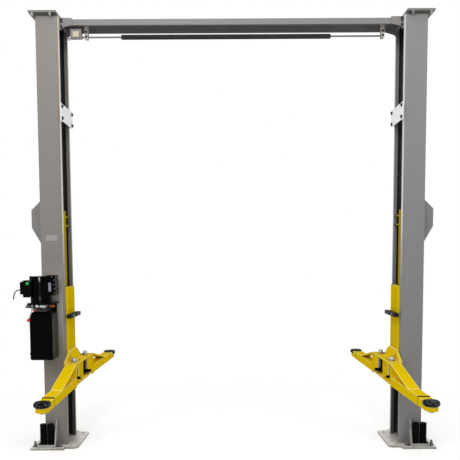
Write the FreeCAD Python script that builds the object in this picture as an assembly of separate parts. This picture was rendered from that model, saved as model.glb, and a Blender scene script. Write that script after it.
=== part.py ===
import FreeCAD, Part
import math
import os

# Two post car lift, clear floor type with an overhead beam.
# Millimetres, X across the bay, Y away from the viewer, Z up from the floor.
# The origin is on the floor, midway between the two posts.

os.makedirs("parts", exist_ok=True)

V = FreeCAD.Vector
ORIGIN = V(0, 0, 0)
AXIS_X = V(1, 0, 0)
AXIS_Y = V(0, 1, 0)
AXIS_Z = V(0, 0, 1)

# Overall sizes
OVERALL_HEIGHT = 3683.0

# Posts
POST_INNER_X = 1445.0
POST_WIDTH = 187.0
POST_OUTER_X = POST_INNER_X + POST_WIDTH
POST_HALF_Y = 155.0
POST_WALL = 6.0
POST_LIP = 43.0
POST_OPENING_HALF_Y = POST_HALF_Y - POST_LIP
POST_LIP_RETURN = 28.0
POST_BEND_R = 18.0

# Base plates
BASE_THICKNESS = 18.0
BASE_OUTER_X = POST_OUTER_X + 105.0
BASE_INNER_X = POST_INNER_X - 102.0
BASE_HALF_Y = POST_HALF_Y + 97.0
BASE_STEP_X = POST_INNER_X + 7.0
BASE_STEP_HALF_Y = BASE_HALF_Y - 38.0
BASE_CHAMFER = 24.0
ANCHOR_HOLE_R = 11.0
ANCHOR_OUTER_X = BASE_OUTER_X - 27.0
ANCHOR_MIDDLE_X = BASE_STEP_X + 48.0
ANCHOR_INNER_X = BASE_INNER_X + 42.0
ANCHOR_Y = BASE_HALF_Y - 52.0
ANCHOR_INNER_Y = BASE_STEP_HALF_Y - 44.0

# Top plates, each on a short neck that closes the post
TOP_THICKNESS = 16.0
TOP_PLATE_Z = OVERALL_HEIGHT - TOP_THICKNESS
NECK_HEIGHT = 15.0
NECK_INSET = 9.0
POST_TOP_Z = TOP_PLATE_Z - NECK_HEIGHT
TOP_OUTER_X = POST_OUTER_X + 48.0
TOP_INNER_X = POST_INNER_X + 5.0
TOP_HALF_Y = POST_HALF_Y + 38.0
TOP_GUSSET_REACH = 40.0
TOP_GUSSET_DROP = 52.0
TOP_GUSSET_THICKNESS = 8.0

# Overhead beam and its end brackets
BEAM_TOP_Z = OVERALL_HEIGHT - 38.0
BEAM_HEIGHT = 48.0
BEAM_BOTTOM_Z = BEAM_TOP_Z - BEAM_HEIGHT
BEAM_HALF_Y = 98.0
BEAM_WALL = 6.0
BRACKET_PLATE = 12.0
BRACKET_NOTCH_EDGE = 32.0
BRACKET_HALF_Y = BEAM_HALF_Y + 14.0
BRACKET_TOP_Z = BEAM_TOP_Z + 10.0
BRACKET_BOTTOM_Z = BEAM_BOTTOM_Z - 37.0
BRACKET_REACH_X = POST_INNER_X - 105.0
BRACKET_GUSSET = 6.0
BRACKET_SLOPE_RUN = 22.0
BRACKET_SLOPE_DROP = 4.0

# Equalizing cables and their sheaves
CABLE_R = 5.0
CABLE_Y = 30.0
CABLE_ROOF_GAP = 9.0
CABLE_WALL_GAP = 16.0
CABLE_WINDOW_GAP = 7.0
CABLE_TOP_Z = BEAM_TOP_Z - BEAM_WALL - CABLE_ROOF_GAP - CABLE_R
CABLE_X = POST_OUTER_X - POST_WALL - CABLE_WALL_GAP - CABLE_R
SHEAVE_R = 60.0
SHEAVE_X = CABLE_X - SHEAVE_R - CABLE_R
SHEAVE_Z = CABLE_TOP_Z - SHEAVE_R - CABLE_R
SHEAVE_WIDTH = 16.0
SHEAVE_GROOVE = 6.0
SHEAVE_SHAFT_R = 12.0
SHEAVE_HANGER_Y = CABLE_Y + SHEAVE_WIDTH / 2 + 18.0
SHEAVE_HANGER_THICKNESS = 6.0
SHEAVE_HANGER_HALF_X = 22.0
CABLE_SOCKET_R = CABLE_R + 4.0
CABLE_SOCKET_HEIGHT = 60.0
CABLE_FOOT_Z = BASE_THICKNESS + CABLE_SOCKET_HEIGHT / 3

# Cylinders inside the posts
CYLINDER_X = POST_INNER_X + 70.0
CYLINDER_R = 38.0
CYLINDER_TOP_Z = 1905.0
GLAND_R = CYLINDER_R + 6.0
GLAND_HEIGHT = 40.0
ROD_R = 22.0
ROD_TOP_Z = CYLINDER_TOP_Z + 265.0
ROLLER_R = 45.0
ROLLER_HALF_WIDTH = 22.0
ROLLER_Z = ROD_TOP_Z + 80.0
FORK_HALF_Y = ROLLER_HALF_WIDTH + 12.0
FORK_HALF_X = 25.0
FORK_EAR = 8.0
FORK_BASE = 20.0
ROLLER_PIN_R = 10.0

# Tie plates across the post openings
TIE_STAND_OFF = 18.0
TIE_X = POST_INNER_X - TIE_STAND_OFF
TIE_HALF_Y = POST_HALF_Y + 19.0
TIE_TOP_Z = OVERALL_HEIGHT - 745.0
TIE_BOTTOM_Z = TIE_TOP_Z - 143.0
TIE_THICKNESS = 6.0
TIE_SPACER_HALF_Y = POST_HALF_Y - 20.0

# Latch covers on the outer faces
LATCH_OUTER_X = POST_OUTER_X + 103.0
LATCH_HALF_Y = 70.0
LATCH_BOTTOM_Z = 1722.0
LATCH_Z = (
    LATCH_BOTTOM_Z,
    LATCH_BOTTOM_Z + 183.0,
    LATCH_BOTTOM_Z + 334.0,
    LATCH_BOTTOM_Z + 435.0,
)

# Yokes, set here by the height of their top plate
YOKE_TOP_Z = 750.0
YOKE_HEIGHT = 183.0
YOKE_BOTTOM_Z = YOKE_TOP_Z - YOKE_HEIGHT
YOKE_INNER_X = POST_INNER_X - 127.0
YOKE_BACK_X = POST_INNER_X - 8.0
YOKE_BACK_THICKNESS = 14.0
YOKE_PLATE = 16.0
YOKE_END_R = 92.0
PIVOT_X = YOKE_INNER_X + 45.0
PIVOT_Y = 183.0
PIN_R = 20.0
PIN_HEAD_RIM = 8.0
PIN_HEAD_HEIGHT = 12.0
PIN_END = 8.0
PIN_RUNNING_GAP = 0.1
SKIRT_TOP_Z = YOKE_TOP_Z + 85.0
WING_HALF_Y = PIVOT_Y + 52.0
WING_INSET = 12.0
SPACER_X = YOKE_INNER_X + 32.0
SPACER_HALF_Y = 62.0

# Carriages
CARRIAGE_FACE_X = POST_INNER_X - 18.0
CARRIAGE_FACE_THICKNESS = 13.0
CARRIAGE_FACE_TOP_Z = YOKE_TOP_Z + 642.0
CHEEK_NEAR_X = POST_INNER_X + POST_LIP_RETURN
CHEEK_FAR_X = POST_OUTER_X - POST_WALL - 26.0
CHEEK_OUTER_Y = POST_OPENING_HALF_Y - 8.0
CARRIAGE_FACE_HALF_Y = CHEEK_OUTER_Y
CHEEK_WALL = 12.0
CHEEK_TOP_Z = YOKE_TOP_Z + 1297.0
LOOP_TOP_Z = CHEEK_TOP_Z - 43.0
LOOP_BOTTOM_Z = LOOP_TOP_Z - 86.0
LOOP_THICKNESS = 10.0
LOOP_X = (POST_INNER_X + 5.0, POST_INNER_X + 15.0)
STRIP_THICKNESS = 8.0
STRIP_REACH_Y = 76.0
SLIDE_GAP = 0.3
SLIDER_Y = POST_HALF_Y - POST_WALL - SLIDE_GAP
SLIDER_INSET = (5.0, 10.0)
SLIDER_WIDTH = 32.0
SLIDER_HEIGHT = 110.0
SLIDER_END_GAP = (30.0, 10.0)
SKIRT_REACH_X = CARRIAGE_FACE_X - 55.0

# Door guards
GUARD_THICKNESS = 40.0
GUARD_HALF_Y = POST_HALF_Y - 2.0
GUARD_BOTTOM_Z = YOKE_TOP_Z + 374.0
GUARD_HEIGHT = 33.0

# Arm locks
LOCK_X = YOKE_INNER_X + 16.0
LOCK_Y = PIVOT_Y - 65.0
LOCK_R = 9.0
LOCK_GAP = 1.0
LOCK_TOP_Z = YOKE_TOP_Z + 22.0
LOCK_FOOT_Z = YOKE_BOTTOM_Z + 19.0
LOCK_FOOT_HALF = 12.0
LOCK_TOE_REACH = 8.0
LOCK_TOE_HALF = 10.0

# Arms, drawn outward from the pivot
HUB_R = 44.0
HUB_CLEARANCE = 3.0
ARM_HALF_WIDTH = 45.0
ARM_TUBE_HEIGHT = 70.0
ARM_TUBE_BOTTOM_Z = YOKE_BOTTOM_Z - 4.0
ARM_TUBE_Z = (ARM_TUBE_BOTTOM_Z, ARM_TUBE_BOTTOM_Z + ARM_TUBE_HEIGHT)
ARM_TUBE_WALL = 5.0
ARM_PLATE_GAP = 8.0
ARM_PLATE_THICKNESS = 18.0
ARM_PLATE_START = YOKE_END_R + ARM_PLATE_GAP
ARM_PLATE_END = ARM_PLATE_START + ARM_PLATE_THICKNESS
ARM_PLATE_Z = (ARM_TUBE_BOTTOM_Z - 11.0, YOKE_TOP_Z - 4.0)
ARM_BRACE_END = ARM_PLATE_END + 422.0
ARM_BRACE_THICKNESS = 12.0
ARM_BRACE_TOE = 4.0
ARM_BRACE_LAP = 34.0
ROOT_HALF_WIDTH = HUB_R - 8.0
PAD_REACH = 890.0
ARM_END = PAD_REACH - 150.0
ARM_SOLID_ROOT = 40.0

# Extensions
EXTENSION_GAP = 0.4
EXTENSION_ROOT_GAP = 92.0
EXTENSION_START = ARM_PLATE_END + ARM_SOLID_ROOT + EXTENSION_ROOT_GAP
EXTENSION_WALL = 6.0
HOOD_START = ARM_END + 10.0
HOOD_END = PAD_REACH - 50.0
HOOD_Z = ARM_TUBE_Z[1] - 5.0
HOOD_GAP = 6.0
RING_R = 48.0
RING_HEIGHT = 32.0
RING_BOTTOM_Z = ARM_TUBE_BOTTOM_Z + 3.0
RING_TOP_Z = RING_BOTTOM_Z + RING_HEIGHT

# Screw pads
PAD_R = 62.0
PAD_THICKNESS = 32.0
PAD_BOTTOM_Z = RING_TOP_Z + 7.0
PAD_TOP_Z = PAD_BOTTOM_Z + PAD_THICKNESS
SCREW_R = 20.0
SCREW_GAP = 0.1
SCREW_BOTTOM_Z = RING_BOTTOM_Z - 14.0

# Rest angle of each arm, positive towards the outside of the lift
ARM_ANGLE = {
    "left_front": -0.9,
    "right_front": 2.0,
    "left_rear": -2.2,
    "right_rear": -2.0,
}

# Overhead shut-off bar
BAR_Z = BEAM_TOP_Z - 114.0
BAR_R = 7.0
HANGER_X = (203.0 - POST_INNER_X, POST_INNER_X - 152.0)
HANGER_HALF_X = 14.0
HANGER_HALF_Y = 16.0
HANGER_PLATE = 5.0
HANGER_BOTTOM_Z = BAR_Z - 19.0
BAR_X = (HANGER_X[0] - 63.0, HANGER_X[1])
BAR_EYE = 9.0
BAR_REST_GAP = 0.3
BAR_PIVOT_R = 6.0
BAR_PIVOT_END = 3.0
PADDING_R = 20.0
PADDING_X = (HANGER_X[0] + 299.0, HANGER_X[1] - 445.0)

# Limit switch
SWITCH_X = (BAR_X[0] - 61.0, BAR_X[0] + 31.0)
SWITCH_Y = (-BAR_R - 63.0, -BAR_R - 13.0)
SWITCH_Z = (BAR_Z - 26.0, BAR_Z + 45.0)

# Power unit, set from the outer front corner of the left post and the height of its shelf
UNIT_X = -POST_OUTER_X
UNIT_Y = -POST_HALF_Y
UNIT_Z = 1262.0
SHELF_THICKNESS = 8.0
SHELF_X = (UNIT_X - 68.0, UNIT_X + 144.0)
SHELF_FRONT_Y = UNIT_Y - 190.0
SHELF_PLATE_DROP = 132.0
SHELF_PLATE_INSET = 20.0
MOTOR_X = UNIT_X + 26.0
MOTOR_Y = UNIT_Y - 107.0
MOTOR_R = 84.0
MOTOR_Z = (UNIT_Z + SHELF_THICKNESS, UNIT_Z + 232.0)
MOTOR_BELL_RIM = 7.0
MOTOR_BELL_HEIGHT = 30.0
CAPACITOR_X = (UNIT_X + 87.0, UNIT_X + 158.0)
CAPACITOR_Y = (UNIT_Y - 145.0, UNIT_Y - 60.0)
CAPACITOR_Z = (UNIT_Z + 73.0, UNIT_Z + 239.0)
BOX_X = (UNIT_X - 96.0, UNIT_X - 27.0)
BOX_Y = (UNIT_Y - 193.0, UNIT_Y - 95.0)
BOX_Z = (UNIT_Z + 59.0, UNIT_Z + 199.0)
BOX_SIDE_X = BOX_X[0] - 28.0
BOX_SIDE_Y = (BOX_Y[0] + 14.0, BOX_Y[1] - 10.0)
BOX_SIDE_Z = (BOX_Z[0] + 24.0, BOX_Z[1] - 12.0)
BUTTON_POS = (BOX_X[0] + 40.0, BOX_Z[1] - 24.0)
BUTTON_R = 14.0
BUTTON_GAP = 0.5
BUTTON_LENGTH = 12.0
BUTTON_STANDS_OUT = 6.0
BUTTON_POCKET = 19.0
PUMP_X = (UNIT_X + 7.0, UNIT_X + 87.0)
PUMP_Y = (UNIT_Y - 170.0, UNIT_Y - 50.0)
PUMP_Z = (UNIT_Z - 62.0, UNIT_Z)
FITTING_Y = UNIT_Y - 105.0
FITTING_Z = UNIT_Z - 26.0
FITTING_END_X = UNIT_X - 104.0
FITTING_R = 11.0
PLUG_X = UNIT_X + 116.0
PLUG_Y = (UNIT_Y - 135.0, UNIT_Y - 75.0)
PLUG_R = 15.0
PLUG_ARM_HALF = 12.0
TANK_X = (UNIT_X - 52.0, UNIT_X + 137.0)
TANK_Y = (UNIT_Y - 177.0, UNIT_Y - 25.0)
TANK_Z = (PUMP_Z[0] - 407.0, PUMP_Z[0])
TANK_CHAMFER = 24.0
TANK_ROUND = 16.0
CAP_POS = (UNIT_X - 16.0, UNIT_Y - 143.0)
CAP_R = 15.0
CAP_HEIGHT = 13.0
LEVER_PIVOT = (UNIT_X - 18.0, UNIT_Z - 34.0)
LEVER_Y = UNIT_Y - 199.0
LEVER_BALL = (LEVER_PIVOT[0] - 34.0, LEVER_PIVOT[1] - 95.0)
LEVER_BALL_R = 15.0
LEVER_R = 5.0
LEVER_PIN_R = 5.0
LEVER_EYE_R = 11.0
LEVER_EYE_HALF = 8.0
LEVER_BOSS_R = 13.0
LEVER_ARM_DEPTH = 30.0

# Cable end that leaves the switch box
CORD_R = 4.5
CORD_Y = UNIT_Y - 135.0
CORD_POINTS = (
    V(BOX_SIDE_X, CORD_Y, UNIT_Z + 120.0),
    V(BOX_SIDE_X - 26.0, CORD_Y, UNIT_Z + 120.0),
    V(BOX_SIDE_X - 49.0, CORD_Y, UNIT_Z + 108.5),
    V(BOX_SIDE_X - 64.5, CORD_Y, UNIT_Z + 88.0),
    V(BOX_SIDE_X - 69.0, CORD_Y, UNIT_Z + 62.5),
    V(BOX_SIDE_X - 71.0, CORD_Y, UNIT_Z + 38.0),
)
CORD_BEND_SHARE = 0.45

# Height adapters and their holders at the post feet
ADAPTER_R = 27.0
ADAPTER_Y = -POST_HALF_Y - 45.0
ADAPTER_X = (POST_OUTER_X + 6.0, POST_OUTER_X - 59.0)
ADAPTER_TOP_Z = 214.0
HOLDER_X = (POST_OUTER_X - 95.0, POST_OUTER_X + 51.0)
HOLDER_Y = (-POST_HALF_Y - 85.0, -POST_HALF_Y)
HOLDER_WALL = 4.0
HOLDER_HEIGHT = 26.0
FOOT_GUSSET_X = (HOLDER_X[0] - 13.0, HOLDER_X[0] - 1.0)
FOOT_GUSSET_Y = -POST_HALF_Y - 83.0
FOOT_GUSSET_TOE = 16.0
FOOT_GUSSET_TOP_Z = 240.0
FOOT_GUSSET_TOP_DEPTH = 22.0


def box(x0, x1, y0, y1, z0, z1):
    return Part.makeBox(x1 - x0, y1 - y0, z1 - z0, V(x0, y0, z0))


def rod(start, end, radius):
    direction = end - start
    return Part.makeCylinder(radius, direction.Length, start, direction)


def prism(points, direction):
    wire = Part.makePolygon(list(points) + [points[0]])
    return Part.Face(wire).extrude(direction)


def plan(points, z0, z1):
    return prism([V(x, y, z0) for x, y in points], V(0, 0, z1 - z0))


def profile_xz(points, y0, y1):
    return prism([V(x, y0, z) for x, z in points], V(0, y1 - y0, 0))


def profile_yz(points, x0, x1):
    return prism([V(x0, y, z) for y, z in points], V(x1 - x0, 0, 0))


def fused(*shapes):
    result = shapes[0].fuse(list(shapes[1:])) if len(shapes) > 1 else shapes[0]
    return result.removeSplitter()


def mirrored_x(shape):
    return shape.mirror(ORIGIN, AXIS_X)


def mirrored_y(shape):
    return shape.mirror(ORIGIN, AXIS_Y)


def both_y(shape):
    return [shape, mirrored_y(shape)]


def both_x(*shapes):
    return [mirrored_x(shape) for shape in shapes] + list(shapes)


def save(name, shape):
    if isinstance(shape, (list, tuple)):
        shape = Part.makeCompound(list(shape))
    if not shape.isValid():
        print("invalid shape", name)
    shape.exportStep("parts/%s.step" % name)
    print(name, len(shape.Solids), round(shape.Volume / 1e6, 3))


def save_pair(name, shape):
    # The pieces are drawn on the right and mirrored for the left.
    save("right_" + name, shape)
    if isinstance(shape, (list, tuple)):
        save("left_" + name, [mirrored_x(piece) for piece in shape])
    else:
        save("left_" + name, mirrored_x(shape))


def base_plate():
    outline = [
        (BASE_OUTER_X, -BASE_HALF_Y),
        (BASE_OUTER_X, BASE_HALF_Y),
        (BASE_STEP_X, BASE_HALF_Y),
        (BASE_STEP_X, BASE_STEP_HALF_Y),
        (BASE_INNER_X + BASE_CHAMFER, BASE_STEP_HALF_Y),
        (BASE_INNER_X, BASE_STEP_HALF_Y - BASE_CHAMFER),
        (BASE_INNER_X, -BASE_STEP_HALF_Y + BASE_CHAMFER),
        (BASE_INNER_X + BASE_CHAMFER, -BASE_STEP_HALF_Y),
        (BASE_STEP_X, -BASE_STEP_HALF_Y),
        (BASE_STEP_X, -BASE_HALF_Y),
    ]
    plate = plan(outline, 0, BASE_THICKNESS)
    holes = []
    for x, y in (
        (ANCHOR_OUTER_X, ANCHOR_Y),
        (ANCHOR_MIDDLE_X, ANCHOR_Y),
        (ANCHOR_INNER_X, ANCHOR_INNER_Y),
    ):
        for side in (-1, 1):
            foot = V(x, side * y, -1)
            holes.append(Part.makeCylinder(ANCHOR_HOLE_R, BASE_THICKNESS + 2, foot))
    return plate.cut(holes)


def bent(shape, corners, radius):
    # Rounds the upright edges that stand at the given corners.
    edges = []
    for edge in shape.Edges:
        a, b = edge.firstVertex().Point, edge.lastVertex().Point
        for x, y in corners:
            if max(abs(a.x - x), abs(b.x - x), abs(a.y - y), abs(b.y - y)) < 0.01:
                edges.append(edge)
    return shape.makeFillet(radius, edges)


def post():
    inner = POST_INNER_X
    outer = POST_OUTER_X
    half = POST_HALF_Y
    wall = POST_WALL
    lip = POST_OPENING_HALF_Y
    end = inner + POST_LIP_RETURN
    outline = [
        (inner, lip),
        (inner, half),
        (outer, half),
        (outer, -half),
        (inner, -half),
        (inner, -lip),
        (end, -lip),
        (end, -lip - wall),
        (inner + wall, -lip - wall),
        (inner + wall, -half + wall),
        (outer - wall, -half + wall),
        (outer - wall, half - wall),
        (inner + wall, half - wall),
        (inner + wall, lip + wall),
        (end, lip + wall),
        (end, lip),
    ]
    section = plan(outline, BASE_THICKNESS, POST_TOP_Z)
    section = bent(section, [(inner, half), (inner, -half)], POST_BEND_R)
    corners = [(inner + wall, half - wall), (inner + wall, wall - half)]
    return bent(section, corners, POST_BEND_R - wall)


def top_plate():
    plate = box(TOP_INNER_X, TOP_OUTER_X, -TOP_HALF_Y, TOP_HALF_Y, TOP_PLATE_Z, OVERALL_HEIGHT)
    half = POST_HALF_Y - NECK_INSET
    neck = box(TOP_INNER_X, POST_OUTER_X - NECK_INSET, -half, half, POST_TOP_Z, TOP_PLATE_Z)
    gusset_points = [
        (POST_OUTER_X, TOP_PLATE_Z),
        (POST_OUTER_X + TOP_GUSSET_REACH, TOP_PLATE_Z),
        (POST_OUTER_X, TOP_PLATE_Z - TOP_GUSSET_DROP),
    ]
    gusset = profile_xz(gusset_points, half - TOP_GUSSET_THICKNESS, half)
    return fused(plate, neck, *both_y(gusset))


def beam():
    end = POST_INNER_X - BRACKET_PLATE
    outer = box(-end, end, -BEAM_HALF_Y, BEAM_HALF_Y, BEAM_BOTTOM_Z, BEAM_TOP_Z)
    inner_half = BEAM_HALF_Y - BEAM_WALL
    roof_z = BEAM_TOP_Z - BEAM_WALL
    hollow = box(-end, end, -inner_half, inner_half, BEAM_BOTTOM_Z - 1, roof_z)
    return outer.cut(hollow)


def beam_bracket():
    x0 = POST_INNER_X - BRACKET_PLATE
    plate = box(x0, POST_INNER_X, -BRACKET_HALF_Y, BRACKET_HALF_Y, BRACKET_BOTTOM_Z, BRACKET_TOP_Z)
    gap = CABLE_R + CABLE_WINDOW_GAP
    half = CABLE_Y + gap
    window = box(x0 - 1, POST_INNER_X + 1, -half, half, CABLE_TOP_Z - gap, CABLE_TOP_Z + gap)
    notch_half = POST_OPENING_HALF_Y - BRACKET_NOTCH_EDGE
    notch = box(x0 - 1, POST_INNER_X + 1, -notch_half, notch_half, BRACKET_BOTTOM_Z - 1, BEAM_BOTTOM_Z)
    gusset_points = [
        (x0, BRACKET_BOTTOM_Z + BRACKET_PLATE),
        (x0, BRACKET_TOP_Z),
        (BRACKET_REACH_X, BRACKET_TOP_Z),
        (BRACKET_REACH_X, BEAM_BOTTOM_Z),
        (BRACKET_REACH_X + BRACKET_SLOPE_RUN, BEAM_BOTTOM_Z - BRACKET_SLOPE_DROP),
    ]
    gusset = profile_xz(gusset_points, BEAM_HALF_Y, BEAM_HALF_Y + BRACKET_GUSSET)
    return fused(plate.cut(window).cut(notch), *both_y(gusset))


def sheaves():
    pieces = []
    for side in (-1, 1):
        centre = side * CABLE_Y
        wheel = Part.makeCylinder(
            SHEAVE_R + SHEAVE_GROOVE,
            SHEAVE_WIDTH,
            V(SHEAVE_X, centre - SHEAVE_WIDTH / 2, SHEAVE_Z),
            AXIS_Y,
        )
        groove = Part.makeTorus(SHEAVE_R + CABLE_R, CABLE_R + 0.5, V(SHEAVE_X, centre, SHEAVE_Z), AXIS_Y)
        pieces.append(wheel.cut(groove))
    hanger = box(
        SHEAVE_X - SHEAVE_HANGER_HALF_X,
        SHEAVE_X + SHEAVE_HANGER_HALF_X,
        SHEAVE_HANGER_Y,
        SHEAVE_HANGER_Y + SHEAVE_HANGER_THICKNESS,
        SHEAVE_Z - SHEAVE_HANGER_HALF_X,
        POST_TOP_Z,
    )
    reach = SHEAVE_HANGER_Y + 2 * SHEAVE_HANGER_THICKNESS
    shaft = rod(V(SHEAVE_X, -reach, SHEAVE_Z), V(SHEAVE_X, reach, SHEAVE_Z), SHEAVE_SHAFT_R)
    return fused(shaft, *both_y(hanger), *pieces)


def cable_drop(y):
    # The straight run of one cable inside a post, in its socket on the base plate.
    rope = rod(V(CABLE_X, y, CABLE_FOOT_Z), V(CABLE_X, y, SHEAVE_Z), CABLE_R)
    foot = V(CABLE_X, y, BASE_THICKNESS)
    return fused(rope, Part.makeCylinder(CABLE_SOCKET_R, CABLE_SOCKET_HEIGHT, foot))


def cable_over(y):
    # The same cable from sheave to sheave through the beam.
    bend = (SHEAVE_R + CABLE_R) * math.sqrt(0.5)
    edges = [
        Part.Arc(
            V(-CABLE_X, y, SHEAVE_Z),
            V(-SHEAVE_X - bend, y, SHEAVE_Z + bend),
            V(-SHEAVE_X, y, CABLE_TOP_Z),
        ).toShape(),
        Part.makeLine(V(-SHEAVE_X, y, CABLE_TOP_Z), V(SHEAVE_X, y, CABLE_TOP_Z)),
        Part.Arc(
            V(SHEAVE_X, y, CABLE_TOP_Z),
            V(SHEAVE_X + bend, y, SHEAVE_Z + bend),
            V(CABLE_X, y, SHEAVE_Z),
        ).toShape(),
    ]
    start = Part.Wire([Part.makeCircle(CABLE_R, V(-CABLE_X, y, SHEAVE_Z), AXIS_Z)])
    return Part.Wire(edges).makePipeShell([start], True, False)


def cylinder():
    x = CYLINDER_X
    barrel = rod(V(x, 0, BASE_THICKNESS), V(x, 0, CYLINDER_TOP_Z), CYLINDER_R)
    gland = rod(V(x, 0, CYLINDER_TOP_Z), V(x, 0, CYLINDER_TOP_Z + GLAND_HEIGHT), GLAND_R)
    ram = rod(V(x, 0, CYLINDER_TOP_Z), V(x, 0, ROD_TOP_Z), ROD_R)
    x0 = x - FORK_HALF_X
    x1 = x + FORK_HALF_X
    fork = box(x0, x1, -FORK_HALF_Y, FORK_HALF_Y, ROD_TOP_Z, ROD_TOP_Z + FORK_BASE)
    ear_top_z = ROLLER_Z + FORK_HALF_X
    ear = box(x0, x1, FORK_HALF_Y - FORK_EAR, FORK_HALF_Y, ROD_TOP_Z, ear_top_z)
    start = V(x, -ROLLER_HALF_WIDTH, ROLLER_Z)
    roller = Part.makeCylinder(ROLLER_R, 2 * ROLLER_HALF_WIDTH, start, AXIS_Y)
    reach = FORK_HALF_Y + 4
    pin = Part.makeCylinder(ROLLER_PIN_R, 2 * reach, V(x, -reach, ROLLER_Z), AXIS_Y)
    return fused(barrel, gland, ram, fork, ear, mirrored_y(ear), roller, pin)


def tie_plate():
    back = TIE_X + TIE_THICKNESS
    web = box(TIE_X, back, -TIE_HALF_Y, TIE_HALF_Y, TIE_BOTTOM_Z, TIE_TOP_Z)
    spacer = box(back, POST_INNER_X, POST_OPENING_HALF_Y, TIE_SPACER_HALF_Y, TIE_BOTTOM_Z, TIE_TOP_Z)
    return fused(web, *both_y(spacer))


def latch_cover():
    z = LATCH_Z
    points = [
        (POST_OUTER_X, z[0]),
        (LATCH_OUTER_X, z[1]),
        (LATCH_OUTER_X, z[2]),
        (POST_OUTER_X, z[3]),
    ]
    return profile_xz(points, -LATCH_HALF_Y, LATCH_HALF_Y)


def carriage():
    face_far = CARRIAGE_FACE_X + CARRIAGE_FACE_THICKNESS
    face = box(
        CARRIAGE_FACE_X,
        face_far,
        -CARRIAGE_FACE_HALF_Y,
        CARRIAGE_FACE_HALF_Y,
        YOKE_TOP_Z,
        CARRIAGE_FACE_TOP_Z,
    )
    lower = box(
        YOKE_BACK_X,
        CHEEK_NEAR_X,
        CHEEK_OUTER_Y - CHEEK_WALL,
        CHEEK_OUTER_Y,
        YOKE_BOTTOM_Z,
        CARRIAGE_FACE_TOP_Z,
    )
    cheek = box(
        CHEEK_NEAR_X,
        CHEEK_FAR_X,
        CHEEK_OUTER_Y - CHEEK_WALL,
        CHEEK_OUTER_Y,
        YOKE_BOTTOM_Z,
        CHEEK_TOP_Z,
    )
    loops = []
    for z0 in (LOOP_BOTTOM_Z, LOOP_TOP_Z - LOOP_THICKNESS):
        z1 = z0 + LOOP_THICKNESS
        loops.append(box(LOOP_X[0], LOOP_X[1], -CHEEK_OUTER_Y, CHEEK_OUTER_Y, z0, z1))
        inside = CHEEK_OUTER_Y - CHEEK_WALL
        loops += both_y(box(LOOP_X[1], CHEEK_NEAR_X, inside, CHEEK_OUTER_Y, z0, z1))
    strip_x = LOOP_X[0]
    strip = box(
        strip_x,
        strip_x + STRIP_THICKNESS,
        -CHEEK_OUTER_Y,
        STRIP_REACH_Y - CHEEK_OUTER_Y,
        CARRIAGE_FACE_TOP_Z,
        CHEEK_TOP_Z,
    )
    strip_wall = box(
        strip_x,
        CHEEK_NEAR_X,
        -CHEEK_OUTER_Y,
        CHEEK_WALL - CHEEK_OUTER_Y,
        CARRIAGE_FACE_TOP_Z,
        CHEEK_TOP_Z,
    )
    sliders = []
    near = CHEEK_NEAR_X + SLIDER_INSET[0]
    far = CHEEK_FAR_X - SLIDER_INSET[1]
    low_z = YOKE_BOTTOM_Z + SLIDER_END_GAP[0]
    high_z = CHEEK_TOP_Z - SLIDER_HEIGHT - SLIDER_END_GAP[1]
    for z0 in (low_z, high_z):
        z1 = z0 + SLIDER_HEIGHT
        for x0 in (near, far - SLIDER_WIDTH):
            x1 = x0 + SLIDER_WIDTH
            sliders.append(box(x0, x1, CHEEK_OUTER_Y, SLIDER_Y, z0, z1))
    pieces = [face, strip, strip_wall] + loops
    for piece in [lower, cheek] + sliders:
        pieces += both_y(piece)
    return fused(*pieces)


def yoke_plate(z0, z1):
    ends = [
        Part.makeCylinder(YOKE_END_R, z1 - z0, V(PIVOT_X, side * PIVOT_Y, z0))
        for side in (-1, 1)
    ]
    middle = box(YOKE_INNER_X, YOKE_BACK_X, -PIVOT_Y, PIVOT_Y, z0, z1)
    reach = PIVOT_Y + YOKE_END_R + 1
    limit = box(YOKE_INNER_X, YOKE_BACK_X, -reach, reach, z0 - 1, z1 + 1)
    plate = fused(middle, *ends).common(limit)
    holes = []
    for side in (-1, 1):
        holes.append(
            Part.makeCylinder(PIN_R, z1 - z0 + 2, V(PIVOT_X, side * PIVOT_Y, z0 - 1))
        )
        holes.append(
            Part.makeCylinder(LOCK_R + LOCK_GAP, z1 - z0 + 2, V(LOCK_X, side * LOCK_Y, z0 - 1))
        )
    return plate.cut(holes)


def yoke():
    top = yoke_plate(YOKE_TOP_Z - YOKE_PLATE, YOKE_TOP_Z)
    bottom = yoke_plate(YOKE_BOTTOM_Z, YOKE_BOTTOM_Z + YOKE_PLATE)
    back_x = YOKE_BACK_X - YOKE_BACK_THICKNESS
    back = box(back_x, YOKE_BACK_X, -WING_HALF_Y + 10, WING_HALF_Y - 10, YOKE_BOTTOM_Z, YOKE_TOP_Z)
    spacer = box(SPACER_X, back_x, -SPACER_HALF_Y, SPACER_HALF_Y, YOKE_BOTTOM_Z, YOKE_TOP_Z)
    skirt = profile_xz(
        [
            (CARRIAGE_FACE_X, YOKE_TOP_Z),
            (CARRIAGE_FACE_X, SKIRT_TOP_Z),
            (SKIRT_REACH_X, YOKE_TOP_Z),
        ],
        -CARRIAGE_FACE_HALF_Y,
        CARRIAGE_FACE_HALF_Y,
    )
    wing = profile_yz(
        [
            (CARRIAGE_FACE_HALF_Y, YOKE_TOP_Z),
            (CARRIAGE_FACE_HALF_Y, SKIRT_TOP_Z),
            (WING_HALF_Y, YOKE_TOP_Z),
        ],
        CARRIAGE_FACE_X - WING_INSET,
        YOKE_BACK_X,
    )
    return fused(top, bottom, back, spacer, skirt, *both_y(wing))


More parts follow.
